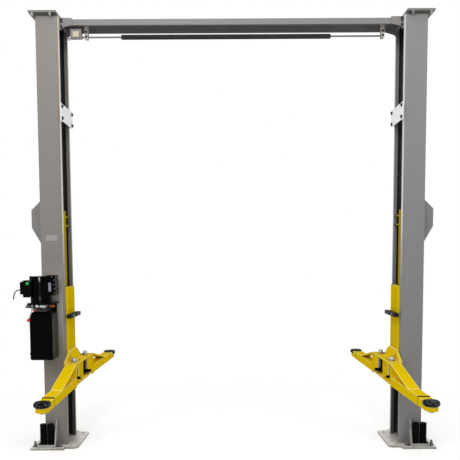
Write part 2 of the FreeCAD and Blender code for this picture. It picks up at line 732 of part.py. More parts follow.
def pivot_pin():
    low = V(PIVOT_X, PIVOT_Y, YOKE_BOTTOM_Z - PIN_END)
    seat = V(PIVOT_X, PIVOT_Y, YOKE_TOP_Z)
    top = V(PIVOT_X, PIVOT_Y, YOKE_TOP_Z + PIN_HEAD_HEIGHT)
    pin = rod(low, top, PIN_R)
    head = rod(seat, top, PIN_R + PIN_HEAD_RIM)
    return fused(pin, head)


def door_guard():
    x0 = CARRIAGE_FACE_X - GUARD_THICKNESS
    z0 = GUARD_BOTTOM_Z
    return box(x0, CARRIAGE_FACE_X, -GUARD_HALF_Y, GUARD_HALF_Y, z0, z0 + GUARD_HEIGHT)


def arm_lock():
    stem = rod(V(LOCK_X, LOCK_Y, LOCK_FOOT_Z), V(LOCK_X, LOCK_Y, LOCK_TOP_Z), LOCK_R)
    half = LOCK_FOOT_HALF
    z0 = LOCK_FOOT_Z - 2
    foot = box(LOCK_X - half, LOCK_X + half, LOCK_Y - half, LOCK_Y + half, z0, z0 + 16)
    toe = box(
        YOKE_INNER_X - LOCK_TOE_REACH,
        LOCK_X,
        LOCK_Y - LOCK_TOE_HALF,
        LOCK_Y + LOCK_TOE_HALF,
        LOCK_FOOT_Z,
        LOCK_FOOT_Z + 12,
    )
    return fused(stem, foot, toe)


def local_arm():
    # Drawn from the pivot at the origin outward along +Y.
    w = ARM_HALF_WIDTH
    hub_z0 = YOKE_BOTTOM_Z + YOKE_PLATE + HUB_CLEARANCE
    hub_z1 = YOKE_TOP_Z - YOKE_PLATE - HUB_CLEARANCE
    hub = Part.makeCylinder(HUB_R, hub_z1 - hub_z0, V(0, 0, hub_z0))
    root = box(-ROOT_HALF_WIDTH, ROOT_HALF_WIDTH, PIN_R / 2, ARM_PLATE_START, hub_z0, hub_z1)
    plate = box(-w, w, ARM_PLATE_START, ARM_PLATE_END, ARM_PLATE_Z[0], ARM_PLATE_Z[1])
    z0, z1 = ARM_TUBE_Z
    tube = box(-w, w, ARM_PLATE_END, ARM_END, z0, z1)
    brace = profile_yz(
        [
            (ARM_PLATE_END, ARM_PLATE_Z[1]),
            (ARM_BRACE_END, z1 + ARM_BRACE_TOE),
            (ARM_BRACE_END, z1),
            (ARM_BRACE_END - ARM_BRACE_LAP, z1),
            (ARM_PLATE_END, ARM_PLATE_Z[1] - ARM_BRACE_THICKNESS),
        ],
        -w,
        w,
    )
    solid = fused(hub, root, plate, tube, brace)
    bore = Part.makeCylinder(PIN_R + PIN_RUNNING_GAP, hub_z1 - hub_z0 + 2, V(0, 0, hub_z0 - 1))
    t = ARM_TUBE_WALL
    hollow = box(-w + t, w - t, ARM_PLATE_END + ARM_SOLID_ROOT, ARM_END + 1, z0 + t, z1 - t)
    return solid.cut([bore, hollow])


def local_extension():
    t = ARM_TUBE_WALL + EXTENSION_GAP
    w = ARM_HALF_WIDTH - t
    z0 = ARM_TUBE_Z[0] + t
    z1 = ARM_TUBE_Z[1] - t
    tube = box(-w, w, EXTENSION_START, HOOD_START, z0, z1)
    wall = EXTENSION_WALL
    hollow = box(-w + wall, w - wall, EXTENSION_START - 1, HOOD_START, z0 + wall, z1 - wall)
    hood = box(-ARM_HALF_WIDTH, ARM_HALF_WIDTH, HOOD_START, HOOD_END, RING_BOTTOM_Z, HOOD_Z)
    pad_space = Part.makeCylinder(PAD_R + HOOD_GAP, 100, V(0, PAD_REACH, RING_TOP_Z))
    ring = Part.makeCylinder(RING_R, RING_HEIGHT, V(0, PAD_REACH, RING_BOTTOM_Z))
    neck_half = ARM_HALF_WIDTH
    neck = box(-neck_half, neck_half, HOOD_START, PAD_REACH, RING_BOTTOM_Z, RING_TOP_Z)
    low_z = SCREW_BOTTOM_Z - 1
    bore = Part.makeCylinder(SCREW_R + SCREW_GAP, PAD_TOP_Z - low_z, V(0, PAD_REACH, low_z))
    solid = fused(tube.cut(hollow), hood.cut(pad_space), neck, ring)
    return solid.cut(bore)


def local_pad():
    disc = Part.makeCylinder(PAD_R, PAD_THICKNESS, V(0, PAD_REACH, PAD_BOTTOM_Z))
    length = PAD_BOTTOM_Z - SCREW_BOTTOM_Z
    screw = Part.makeCylinder(SCREW_R, length, V(0, PAD_REACH, SCREW_BOTTOM_Z))
    return fused(disc, screw)


def place_arm(shape, name):
    # The outward side of every arm is +X before the left side is mirrored.
    placed = shape.copy()
    if name.endswith("front"):
        placed = mirrored_y(placed)
    outward = ARM_ANGLE[name]
    turn = outward if name.endswith("front") else -outward
    placed.rotate(ORIGIN, AXIS_Z, turn)
    side = -PIVOT_Y if name.endswith("front") else PIVOT_Y
    placed.translate(V(PIVOT_X, side, 0))
    if name.startswith("left"):
        placed = mirrored_x(placed)
    return placed


def shutoff_bar():
    return rod(V(BAR_X[0], 0, BAR_Z), V(BAR_X[1] + BAR_EYE, 0, BAR_Z), BAR_R)


def bar_padding():
    outer = rod(V(PADDING_X[0], 0, BAR_Z), V(PADDING_X[1], 0, BAR_Z), PADDING_R)
    bore = rod(V(PADDING_X[0] - 1, 0, BAR_Z), V(PADDING_X[1] + 1, 0, BAR_Z), BAR_R)
    return outer.cut(bore)


def bar_hangers():
    top = BEAM_TOP_Z - BEAM_WALL
    half = HANGER_HALF_X
    y0 = HANGER_HALF_Y
    y1 = HANGER_HALF_Y + HANGER_PLATE
    made = []
    for x in HANGER_X:
        leg = box(x - half, x + half, y0, y1, HANGER_BOTTOM_Z, top)
        bridge = box(x - half, x + half, -y0, y0, top - HANGER_PLATE, top)
        made.append([leg, mirrored_y(leg), bridge])
    x = HANGER_X[0]
    rest_z = BAR_Z - BAR_R - BAR_REST_GAP
    rest = box(x - half, x + half, -y0, y0, HANGER_BOTTOM_Z, rest_z)
    left = fused(*made[0], rest)
    right = fused(*made[1])
    radius = BAR_PIVOT_R + PIN_RUNNING_GAP
    hole = rod(V(HANGER_X[1], -y1 - 1, BAR_Z), V(HANGER_X[1], y1 + 1, BAR_Z), radius)
    return [left, right.cut(hole)]


def bar_with_pivot():
    reach = HANGER_HALF_Y + HANGER_PLATE + BAR_PIVOT_END
    x = HANGER_X[1]
    pivot = rod(V(x, -reach, BAR_Z), V(x, reach, BAR_Z), BAR_PIVOT_R)
    return fused(shutoff_bar(), pivot)


def limit_switch():
    body = box(SWITCH_X[0], SWITCH_X[1], SWITCH_Y[0], SWITCH_Y[1], SWITCH_Z[0], SWITCH_Z[1])
    cover = box(
        SWITCH_X[0] + 25,
        SWITCH_X[1] - 14,
        SWITCH_Y[0] - 12,
        SWITCH_Y[0],
        SWITCH_Z[0] + 3,
        SWITCH_Z[1] - 22,
    )
    strap = box(
        SWITCH_X[0] + 30,
        SWITCH_X[1] - 30,
        SWITCH_Y[1] - 5,
        SWITCH_Y[1],
        SWITCH_Z[1],
        BEAM_TOP_Z - BEAM_WALL,
    )
    return fused(body, cover, strap)


def pump_motor():
    foot = V(MOTOR_X, MOTOR_Y, MOTOR_Z[0])
    top = V(MOTOR_X, MOTOR_Y, MOTOR_Z[1])
    body = rod(foot, top, MOTOR_R)
    bell = rod(top - V(0, 0, MOTOR_BELL_HEIGHT), top, MOTOR_R + MOTOR_BELL_RIM)
    capacitor = box(*CAPACITOR_X, *CAPACITOR_Y, *CAPACITOR_Z)
    return fused(body, bell, capacitor)


def power_bracket():
    top_z = UNIT_Z + SHELF_THICKNESS
    shelf = box(SHELF_X[0], SHELF_X[1], SHELF_FRONT_Y, -POST_HALF_Y, UNIT_Z, top_z)
    wall = box(
        UNIT_X + SHELF_PLATE_INSET,
        SHELF_X[1] - SHELF_PLATE_INSET,
        -POST_HALF_Y - SHELF_THICKNESS,
        -POST_HALF_Y,
        UNIT_Z - SHELF_PLATE_DROP,
        UNIT_Z,
    )
    return fused(shelf, wall)


def switch_box():
    body = box(*BOX_X, *BOX_Y, *BOX_Z)
    side = box(BOX_SIDE_X, BOX_X[0], *BOX_SIDE_Y, *BOX_SIDE_Z)
    length = BOX_Z[1] - MOTOR_Z[0] + 1
    motor = Part.makeCylinder(MOTOR_R, length, V(MOTOR_X, MOTOR_Y, MOTOR_Z[0]))
    start = V(BUTTON_POS[0], BOX_Y[0] - 1, BUTTON_POS[1])
    pocket = Part.makeCylinder(BUTTON_R + BUTTON_GAP, BUTTON_POCKET + 1, start, AXIS_Y)
    return fused(body, side).cut([motor, pocket])


def start_button():
    start = V(BUTTON_POS[0], BOX_Y[0] - BUTTON_STANDS_OUT, BUTTON_POS[1])
    return Part.makeCylinder(BUTTON_R, BUTTON_LENGTH, start, AXIS_Y)


def pump_block():
    block = box(*PUMP_X, *PUMP_Y, *PUMP_Z)
    x, z = LEVER_PIVOT
    back_y = PUMP_Y[0] + LEVER_ARM_DEPTH
    eye_y = LEVER_Y + LEVER_EYE_HALF + SLIDE_GAP
    pin_y = LEVER_Y - LEVER_EYE_HALF - 2
    boss = rod(V(x, back_y, z), V(x, eye_y, z), LEVER_BOSS_R)
    pin = rod(V(x, back_y, z), V(x, pin_y, z), LEVER_PIN_R)
    low = z - LEVER_BOSS_R
    high = z + LEVER_BOSS_R
    arm = box(x, PUMP_X[0], back_y, back_y + LEVER_ARM_DEPTH, low, high)
    fitting_start = V(PUMP_X[0], FITTING_Y, FITTING_Z)
    fitting = rod(fitting_start, V(FITTING_END_X, FITTING_Y, FITTING_Z), FITTING_R)
    plug = rod(V(PLUG_X, PLUG_Y[0], FITTING_Z), V(PLUG_X, PLUG_Y[1], FITTING_Z), PLUG_R)
    half = PLUG_ARM_HALF
    plug_arm = box(
        PUMP_X[1],
        PLUG_X,
        FITTING_Y - half,
        FITTING_Y + half,
        FITTING_Z - half,
        FITTING_Z + half,
    )
    return fused(block, boss, pin, arm, fitting, plug, plug_arm)


def oil_tank():
    body = box(*TANK_X, *TANK_Y, *TANK_Z)
    top = [edge for edge in body.Edges if min(v.Z for v in edge.Vertexes) > TANK_Z[1] - 1]
    body = body.makeChamfer(TANK_CHAMFER, top)
    low = [edge for edge in body.Edges if max(v.Z for v in edge.Vertexes) < TANK_Z[0] + 1]
    return body.makeFillet(TANK_ROUND, low)


def filler_cap():
    foot = V(CAP_POS[0], CAP_POS[1], TANK_Z[1])
    return Part.makeCylinder(CAP_R, CAP_HEIGHT, foot)


def lowering_lever():
    pivot = V(LEVER_PIVOT[0], LEVER_Y, LEVER_PIVOT[1])
    ball = V(LEVER_BALL[0], LEVER_Y, LEVER_BALL[1])
    stem = rod(pivot + (ball - pivot) * 0.06, ball, LEVER_R)
    knob = Part.makeSphere(LEVER_BALL_R, ball, AXIS_Y)
    half = V(0, LEVER_EYE_HALF, 0)
    eye = rod(pivot - half, pivot + half, LEVER_EYE_R)
    bore = rod(pivot - half * 2, pivot + half * 2, LEVER_PIN_R + PIN_RUNNING_GAP)
    return fused(stem, knob, eye).cut(bore)


def motor_cable():
    points = CORD_POINTS
    pieces = []
    edges = []
    last = points[0]
    for i in range(1, len(points) - 1):
        before = points[i] - points[i - 1]
        after = points[i + 1] - points[i]
        turn = math.radians(0.5 * math.degrees(before.getAngle(after)))
        cut = CORD_BEND_SHARE * min(before.Length, after.Length)
        radius = cut / math.tan(turn)
        print("cord arc radius", round(radius, 1))
        a = points[i] - before.normalize() * cut
        b = points[i] + after.normalize() * cut
        middle_dir = ((a + b) * 0.5 - points[i]).normalize()
        reach = radius / math.cos(turn) - radius
        middle = points[i] + middle_dir * reach
        edges.append(Part.makeLine(last, a))
        edges.append(Part.Arc(a, middle, b).toShape())
        last = b
    edges.append(Part.makeLine(last, points[-1]))
    path = Part.Wire(edges)
    direction = points[1] - points[0]
    start = Part.Wire([Part.makeCircle(CORD_R, points[0], direction)])
    shape = path.makePipeShell([start], True, False)
    print("cord length", round(path.Length, 1), "volume ratio",
          round(shape.Volume / (math.pi * CORD_R ** 2 * path.Length), 4))
    return shape


def adapter_holder():
    x0, x1 = HOLDER_X
    y0, y1 = HOLDER_Y
    z0 = BASE_THICKNESS
    tray = box(x0, x1, y0, y1, z0, z0 + HOLDER_HEIGHT)
    hollow = box(
        x0 + HOLDER_WALL,
        x1 - HOLDER_WALL,
        y0 + HOLDER_WALL,
        y1 - HOLDER_WALL,
        z0 + HOLDER_WALL,
        z0 + HOLDER_HEIGHT + 1,
    )
    gusset = profile_yz(
        [
            (-POST_HALF_Y, z0),
            (FOOT_GUSSET_Y, z0),
            (FOOT_GUSSET_Y, z0 + FOOT_GUSSET_TOE),
            (-POST_HALF_Y - FOOT_GUSSET_TOP_DEPTH, FOOT_GUSSET_TOP_Z),
            (-POST_HALF_Y, FOOT_GUSSET_TOP_Z),
        ],
        FOOT_GUSSET_X[0],
        FOOT_GUSSET_X[1],
    )
    return [tray.cut(hollow), gusset]


def height_adapter(x):
    foot = V(x, ADAPTER_Y, BASE_THICKNESS + HOLDER_WALL)
    return Part.makeCylinder(ADAPTER_R, ADAPTER_TOP_Z - foot.z, foot)


save_pair("base_plate", base_plate())
save_pair("post", post())
save_pair("top_plate", top_plate())
save("overhead_beam", beam())
save("beam_brackets", both_x(beam_bracket()))
save("top_sheaves", both_x(sheaves()))
save_pair("cable_drops", [cable_drop(-CABLE_Y), cable_drop(CABLE_Y)])
save("overhead_cables", [cable_over(-CABLE_Y), cable_over(CABLE_Y)])
save_pair("cylinder", cylinder())
save("tie_plates", both_x(tie_plate()))
save_pair("latch_cover", latch_cover())

save_pair("carriage", carriage())
save_pair("yoke", yoke())
save_pair("pivot_pins", both_y(pivot_pin()))
save_pair("door_guard", door_guard())
save_pair("arm_locks", both_y(arm_lock()))

for arm_name in ARM_ANGLE:
    save(arm_name + "_arm", place_arm(local_arm(), arm_name))
    save(arm_name + "_extension", place_arm(local_extension(), arm_name))
    save(arm_name + "_pad", place_arm(local_pad(), arm_name))

save("shutoff_bar", bar_with_pivot())
save("bar_padding", bar_padding())
save("bar_hangers", bar_hangers())
save("limit_switch", limit_switch())

save("power_bracket", power_bracket())
save("pump_motor", pump_motor())
save("switch_box", switch_box())
save("start_button", start_button())
save("pump_block", pump_block())
save("oil_tank", oil_tank())
save("filler_cap", filler_cap())
save("lowering_lever", lowering_lever())
save("motor_cable", motor_cable())

save("adapter_holders", both_x(*adapter_holder()))
save("height_adapters", both_x(*[height_adapter(x) for x in ADAPTER_X]))
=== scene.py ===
import math

import bmesh
import bpy
from mathutils import Matrix, Vector


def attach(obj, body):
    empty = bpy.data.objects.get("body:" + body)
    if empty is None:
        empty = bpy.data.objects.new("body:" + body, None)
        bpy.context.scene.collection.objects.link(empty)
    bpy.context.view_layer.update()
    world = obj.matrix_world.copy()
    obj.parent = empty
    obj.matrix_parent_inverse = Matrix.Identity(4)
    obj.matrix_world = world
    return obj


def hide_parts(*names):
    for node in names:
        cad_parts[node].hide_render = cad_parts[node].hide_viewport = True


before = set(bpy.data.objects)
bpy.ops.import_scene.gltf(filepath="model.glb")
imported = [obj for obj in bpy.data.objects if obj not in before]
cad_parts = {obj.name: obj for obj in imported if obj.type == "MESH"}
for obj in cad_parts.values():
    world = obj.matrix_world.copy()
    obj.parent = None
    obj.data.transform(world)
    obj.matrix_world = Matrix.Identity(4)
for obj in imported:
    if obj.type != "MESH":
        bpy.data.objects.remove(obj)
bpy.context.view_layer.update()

# The two post lift in metres, X across the bay, Y away from the viewer, Z up from the floor.
SIDES = {"left": -1, "right": 1}
ARMS = ("left_front", "right_front", "left_rear", "right_rear")
CARRIAGE_BODY = {side: side + "_carriage_body" for side in SIDES}
POST_INNER_X = 1.445
POST_RETURN_X = 1.473
POST_OUTER_X = 1.632
POST_HALF_Y = 0.155
POST_OPENING_HALF_Y = 0.112
POST_BEND_R = 0.018
CHEEK_OUTER_Y = 0.104
BASE_TOP_Z = 0.018
PIVOT = (1.363, 0.183)
UP = (0, 0, 1)
DOWN = (0, 0, -1)
FRONT = (0, -1, 0)


# Shader expressions

class Socket:
    """The output of a shader node, for use in Python expressions."""

    def __init__(self, shading, output):
        self.shading = shading
        self.output = output

    def __add__(self, other):
        return self.shading.math("ADD", self, other)

    def __radd__(self, other):
        return self.shading.math("ADD", other, self)

    def __sub__(self, other):
        return self.shading.math("SUBTRACT", self, other)

    def __rsub__(self, other):
        return self.shading.math("SUBTRACT", other, self)

    def __mul__(self, other):
        return self.shading.math("MULTIPLY", self, other)

    def __rmul__(self, other):
        return self.shading.math("MULTIPLY", other, self)

    def above(self, edge):
        return self.shading.math("GREATER_THAN", self, edge)

    def below(self, edge):
        return self.shading.math("LESS_THAN", self, edge)

    def between(self, low, high):
        return self.above(low) * self.below(high)

    def limited(self):
        return self.shading.math("MINIMUM", self.shading.math("MAXIMUM", self, 0.0), 1.0)

    def size(self):
        return self.shading.math("ABSOLUTE", self)


class Shading:
    """The nodes of a material or of the world, added one at a time."""

    def __init__(self, tree):
        self.tree = tree
        self.tree.nodes.clear()

    def node(self, kind, settings=None, values=None, output=0):
        made = self.tree.nodes.new(kind)
        for key, value in (settings or {}).items():
            setattr(made, key, value)
        for key, value in (values or {}).items():
            if isinstance(value, Socket):
                self.tree.links.new(value.output, made.inputs[key])
            else:
                made.inputs[key].default_value = value
        return Socket(self, made.outputs[output]) if made.outputs else None

    def math(self, operation, a, b=0.0):
        return self.node("ShaderNodeMath", {"operation": operation}, {0: a, 1: b})

    def shown_rays(self):
        # 1 for the rays that see the white surroundings, 0 for those that only light the lift.
        path = self.node("ShaderNodeLightPath").output.node.outputs
        camera = Socket(self, path["Is Camera Ray"])
        clear = Socket(self, path["Is Transmission Ray"])
        glossy = Socket(self, path["Is Glossy Ray"])
        return self.math("MAXIMUM", self.math("MAXIMUM", camera, clear), glossy)


class Finish(Shading):
    """The material of one of the lift's finishes."""

    def __init__(self, name):
        self.material = bpy.data.materials.new(name)
        self.material.use_nodes = True
        super().__init__(self.material.node_tree)

    def blend(self, factor, a, b):
        values = {0: factor, 6: opaque(a), 7: opaque(b)}
        return self.node("ShaderNodeMix", {"data_type": "RGBA"}, values, 2)

    def place(self):
        return self.node("ShaderNodeTexCoord", output=3)

    def axes(self):
        split = self.node("ShaderNodeSeparateXYZ", values={0: self.place()}).output.node
        return [Socket(self, out) for out in split.outputs]

    def stretched(self, scale):
        return self.node("ShaderNodeMapping", values={"Vector": self.place(), "Scale": scale})

    def noise(self, scale, detail=3.0, where=None):
        values = {"Vector": where or self.place(), "Scale": scale, "Detail": detail}
        return self.node("ShaderNodeTexNoise", values=values)

    def bump(self, height, distance, strength=1.0):
        values = {"Height": height, "Distance": distance, "Strength": strength}
        return self.node("ShaderNodeBump", values=values)

    def edges(self, radius, gain, tilt):
        # 0 on flat faces, towards 1 at upper edges, where two faces meet within the radius.
        soft = self.node("ShaderNodeBevel", {"samples": 4}, {"Radius": radius})
        flat = self.node("ShaderNodeNewGeometry", output=1)
        turn = self.node("ShaderNodeVectorMath", {"operation": "DOT_PRODUCT"}, {0: soft, 1: flat}, 1)
        amount = self.math("MINIMUM", (1.0 - turn) * gain, 1.0)
        rise = self.node("ShaderNodeSeparateXYZ", values={0: soft}, output=2)
        return amount * rise.above(tilt)

    def sprayed(self, cloud_scale, run_scale, start, wear):
        # The clouds of a sprayed coat, and its tone with those clouds and soft runs.
        clouds = self.noise(cloud_scale, 4.0)
        runs = self.noise(1.0, 4.0, self.stretched(run_scale))
        return clouds, start - wear * (clouds * 0.6 + runs * 0.9 - 0.6)

    def peel(self, scale):
        # The fine orange peel of paint.
        return self.bump(self.noise(scale, 2.0), PEEL_DEPTH, 0.5)

    def surface(self, colour, roughness, metallic=0.0, normal=None, coat=0.0, sheen=0.5):
        values = {"Base Color": opaque(colour), "Roughness": roughness, "Metallic": metallic}
        values["Specular IOR Level"] = sheen
        if normal is not None:
            values["Normal"] = normal
        if coat:
            values["Coat Weight"] = coat
            values["Coat Roughness"] = COAT_ROUGHNESS
        shader = self.node("ShaderNodeBsdfPrincipled", values=values)
        self.node("ShaderNodeOutputMaterial", values={"Surface": shader})
        return self.material


def opaque(colour):
    if isinstance(colour, Socket):
        return colour
    return (*colour, 1.0)


def shade(colour, factor):
    return tuple(channel * factor for channel in colour)


# Finishes, with colours as linear red, green and blue

PEEL_DEPTH = 0.0004
COAT_ROUGHNESS = 0.12
POST_RUNS = (22.0, 22.0, 1.1)
POST_PEEL = 520.0
CARRIAGE_RUNS = (24.0, 24.0, 2.0)
CARRIAGE_PEEL = 420.0
PAINTED_EDGE_HIGHLIGHT = (1.0, 0.94, 0.48)
CHEEK_GAP_SHADE = (0.012, 0.012, 0.008)
CHANNEL_DEEP_SHADE = (0.022, 0.022, 0.022)
CHANNEL_LESS_SHADE = (0.15, 0.15, 0.15)
SKIN = 0.003
PAINTED_HIGHLIGHT_Z = 1.45
POWER_UNIT_Z = 1.22
STRIP_TOP_Z = 1.391
YOKE_TOP_Z = 0.7503
PLATE_CUT_Z = 0.0172
BALL_TOP_Z = 1.149
LEVER_ARM_Z = 1.235
PUMP_FITTING_X = -1.672
PLUG_X = -1.5355
PLUG_LOW_Z = 1.2385
DARK_BLOCK_X = -1.6255
DARK_BLOCK_Z = 1.2335
COVER_FACE_Y = -0.0703
MAUVE_GREY = (0.27, 0.235, 0.25)
YELLOW = (0.700, 0.488, 0.001)
TANK_BLACK = (0.0012, 0.0012, 0.0014)


def painted_steel(name, colour, roughness=0.42, wear=0.10, sheen=0.3):
    # Sprayed paint: a fine orange peel, faint clouds and soft runs.
    paint = Finish(name)
    clouds, tone = paint.sprayed(2.3, POST_RUNS, 1.0, wear)
    finish = paint.blend(tone, shade(colour, 0.25), colour)
    gloss = roughness + 0.10 * (clouds - 0.5)
    return paint.surface(finish, gloss, normal=paint.peel(POST_PEEL), sheen=sheen)


def post_paint(name, colour, painted_light_patch=False):
    # The post is painted outside and on its lips. Its channel is painted dark as shade, its returns carry
    # painted shade and its bends painted highlights.
    paint = Finish(name)
    x, y, z = paint.axes()
    width = x.size()
    depth = y.size()
    inside = width.between(POST_INNER_X + 0.004, POST_OUTER_X - 0.004)
    inside = inside * depth.below(POST_HALF_Y - 0.0045)
    across = POST_INNER_X + POST_BEND_R - width
    along = depth - (POST_HALF_Y - POST_BEND_R)
    corner = across.above(0.0) * along.above(0.0)
    skin = corner * (across * across + along * along).above((POST_BEND_R - SKIN) ** 2)
    lips = width.below(POST_RETURN_X + 0.001) * depth.below(POST_OPENING_HALF_Y + 0.007)
    inside = inside * (1.0 - skin) * (1.0 - lips)
    # Painted light: the outside tone grows lighter towards the top, as the light falls from above.
    clouds, tone = paint.sprayed(2.3, POST_RUNS, z * 0.075 + 0.76, 0.10)
    outside = paint.blend(tone, shade(colour, 0.2), colour)
    # Painted shade in the channel: darker near the returns and lower down, with a noise of grime.
    grime = paint.noise(9.0, 5.0)
    back = ((width - 1.490) * 28.0).limited()
    lit_and_clean = back * (z * 0.2 + 0.3) * (grime * 0.6 + 0.7)
    channel = paint.blend(lit_and_clean, CHANNEL_DEEP_SHADE, CHANNEL_LESS_SHADE)
    finish = paint.blend(inside, outside, channel)
    # Painted shade on the returns of the lips, darker lower down.
    shaded_returns = lips * depth.above(POST_OPENING_HALF_Y - 0.001) * width.above(POST_INNER_X + 0.002)
    finish = paint.blend(shaded_returns * (0.80 - z * 0.47), finish, shade(colour, 0.12))
    # Painted highlights on the bends and on the lips' faces above a height, stronger in front than behind.
    high = ((z - PAINTED_HIGHLIGHT_Z) * 1.8).limited()
    face = width.below(POST_INNER_X + SKIN) * depth.above(POST_OPENING_HALF_Y + 0.0072)
    painted_highlight = paint.math("MAXIMUM", skin, face) * depth.below(POST_HALF_Y - 0.008) * high
    finish = paint.blend(painted_highlight * y.below(0.0), finish, shade(colour, 3.0))
    finish = paint.blend(painted_highlight * y.above(0.0), finish, shade(colour, 2.3))
    if painted_light_patch:
        # Painted light on the front face beside the power unit, where the unit's shadow falls.
        painted_light_beside = (1.0 - (z - POWER_UNIT_Z).size() * 2.4).limited() * y.below(0.001 - POST_HALF_Y)
        finish = paint.blend(painted_light_beside, finish, shade(colour, 1.75))
    gloss = 0.45 + 0.1 * (clouds - 0.5)
    return paint.surface(finish, gloss, normal=paint.peel(POST_PEEL), sheen=0.25)


def carriage_paint(name, colour, carriage=False):
    # Yellow paint with painted highlights along its upper edges; on a carriage it also carries painted light
    # and shade, and is painted black between the cheeks as shade.
    paint = Finish(name)
    clouds, tone = paint.sprayed(3.0, CARRIAGE_RUNS, 1.0, 0.12)
    flat = paint.blend(tone, shade(colour, 0.3), colour)
    # Painted highlights along the upper edges.
    finish = paint.blend(paint.edges(0.010, 14.0, 0.25) * 0.72, flat, PAINTED_EDGE_HIGHLIGHT)
    if carriage:
        x, y, z = paint.axes()
        width = x.size()
        # Painted light: the near wall of a carriage is lighter, as it faces the light.
        near_wall = width.below(POST_RETURN_X) * y.below(0.0005 - CHEEK_OUTER_Y)
        finish = paint.blend(near_wall, finish, shade(colour, 1.32))
        # Painted shade on the strip behind the post's lip and on the far bars.
        strip = width.between(POST_INNER_X + 0.0045, POST_INNER_X + 0.0135)
        strip = strip * z.above(STRIP_TOP_Z) * y.above(0.0008 - CHEEK_OUTER_Y)
        finish = paint.blend(strip * 0.45, finish, (0.02, 0.016, 0.002))
        far_bars = width.below(POST_INNER_X + 0.016) * y.above(0.040) * z.above(STRIP_TOP_Z)
        finish = paint.blend(far_bars * 0.85, finish, (0.03, 0.025, 0.006))
        # Painted shade: between the cheeks the carriage is painted nearly black.
        shaded_gap = width.above(POST_RETURN_X - 0.0005) * y.size().below(CHEEK_OUTER_Y + 0.0005)
        finish = paint.blend(shaded_gap, finish, CHEEK_GAP_SHADE)
    gloss = 0.36 + 0.12 * (clouds - 0.5)
    return paint.surface(finish, gloss, normal=paint.peel(CARRIAGE_PEEL), sheen=0.0003)


def lock_rod_finish(name):
    # The front lock rods are painted, the rear ones only above the yoke.
    rod = Finish(name)
    _, y, z = rod.axes()
    painted = rod.math("MAXIMUM", y.below(0.0), z.above(YOKE_TOP_Z))
    stain = rod.noise(30.0, 4.0)
    steel = rod.blend(stain, (0.16, 0.155, 0.15), (0.38, 0.37, 0.36))
    colour = rod.blend(painted, steel, shade(YELLOW, 0.9))
    metal = (1.0 - painted) * 0.85
    return rod.surface(colour, 0.34 + 0.2 * (stain - 0.5), metallic=metal, sheen=0.02)


def zinc_coat(name, colour):
    # Hot dip zinc: spangle, a dull bloom and a brownish cut edge.
    zinc = Finish(name)
    cells = zinc.node("ShaderNodeTexVoronoi", values={"Vector": zinc.place(), "Scale": 75.0}, output=1)
    grain = zinc.node("ShaderNodeSeparateXYZ", values={0: cells})
    bloom = zinc.noise(11.0, 5.0)
    speckle = zinc.noise(260.0, 2.0)
    tone = 0.66 + 0.30 * grain + 1.3 * (bloom - 0.5) + 1.2 * (speckle - 0.5)
    flat = zinc.blend(tone, shade(colour, 0.35), colour)
    rust = zinc.noise(38.0, 6.0)
    cut = zinc.axes()[2].below(PLATE_CUT_Z) * (0.45 + 0.5 * rust)
    stained = zinc.blend(cut, flat, (0.15, 0.115, 0.08))
    normal = zinc.bump(bloom, 0.0012, 0.6)
    return zinc.surface(stained, 0.55 - 0.2 * grain, metallic=0.2, normal=normal)


def bare_steel(name, colour, roughness=0.32):
    # Plated or turned steel with fine marks around it.
    steel = Finish(name)
    marks = steel.noise(1.0, 3.0, steel.stretched((60.0, 60.0, 900.0)))
    stain = steel.noise(30.0, 4.0)
    tone = steel.blend(0.7 + 0.5 * (stain - 0.5), shade(colour, 0.4), colour)
    normal = steel.bump(marks, 0.0003, 0.5)
    return steel.surface(tone, roughness + 0.25 * (stain - 0.5), metallic=0.9, normal=normal)


def gloss_black(name, colour, roughness, highlight_x=None, lit_side_x=None):
    # Stoved black enamel with dust. At one x stands a painted highlight, a faint line with two glints, and
    # the side beyond another x is painted lighter, as lit.
    enamel = Finish(name)
    casting = enamel.noise(160.0, 4.0)
    dust = enamel.noise(7.0, 5.0)
    tone = enamel.blend(dust * 0.5, colour, shade(colour, 2.0))
    x, y, z = enamel.axes()
    if highlight_x:
        # Painted highlight: a faint vertical line on the front, with a bright glint and a dimmer one.
        highlight_line = (x - highlight_x).size().below(0.0055) * y.below(-0.25)
        tone = enamel.blend(highlight_line * (0.3 + dust), tone, (0.016, 0.016, 0.015))
        tone = enamel.blend(highlight_line * z.between(1.448, 1.486) * 0.9, tone, (0.52, 0.51, 0.49))
        tone = enamel.blend(highlight_line * z.between(1.292, 1.325), tone, (0.12, 0.12, 0.115))
    if lit_side_x:
        # Painted light: the side beyond this x is lighter, as it faces a lamp.
        tone = enamel.blend(x.above(lit_side_x) * (0.6 + 0.6 * dust), tone, (0.046, 0.044, 0.040))
    normal = enamel.bump(casting, 0.0006, 0.5)
    return enamel.surface(tone, roughness + 0.3 * (dust - 0.45), normal=normal, sheen=0.025)


def moulded_rubber(name, colour, roughness=0.62, sheen=0.1, painted_glints=0.0):
    # Black rubber with dust; where given, small bright spots are painted on as glints, which are painted
    # highlights.
    rubber = Finish(name)
    grain = rubber.noise(300.0, 4.0)
    dust = rubber.noise(14.0, 5.0)
    tone = rubber.blend(dust * 0.6, colour, (0.017, 0.017, 0.018))
    if painted_glints:
        # Painted glints: small bright spots that stand for highlights.
        spots = (rubber.noise(125.0, 1.0) - 0.63) * 18.0
        tone = rubber.blend(spots, tone, (painted_glints, painted_glints, painted_glints))
    normal = rubber.bump(grain * 0.3, 0.0008, 0.9)
    return rubber.surface(tone, roughness + 0.2 * (dust - 0.5), normal=normal, sheen=sheen)


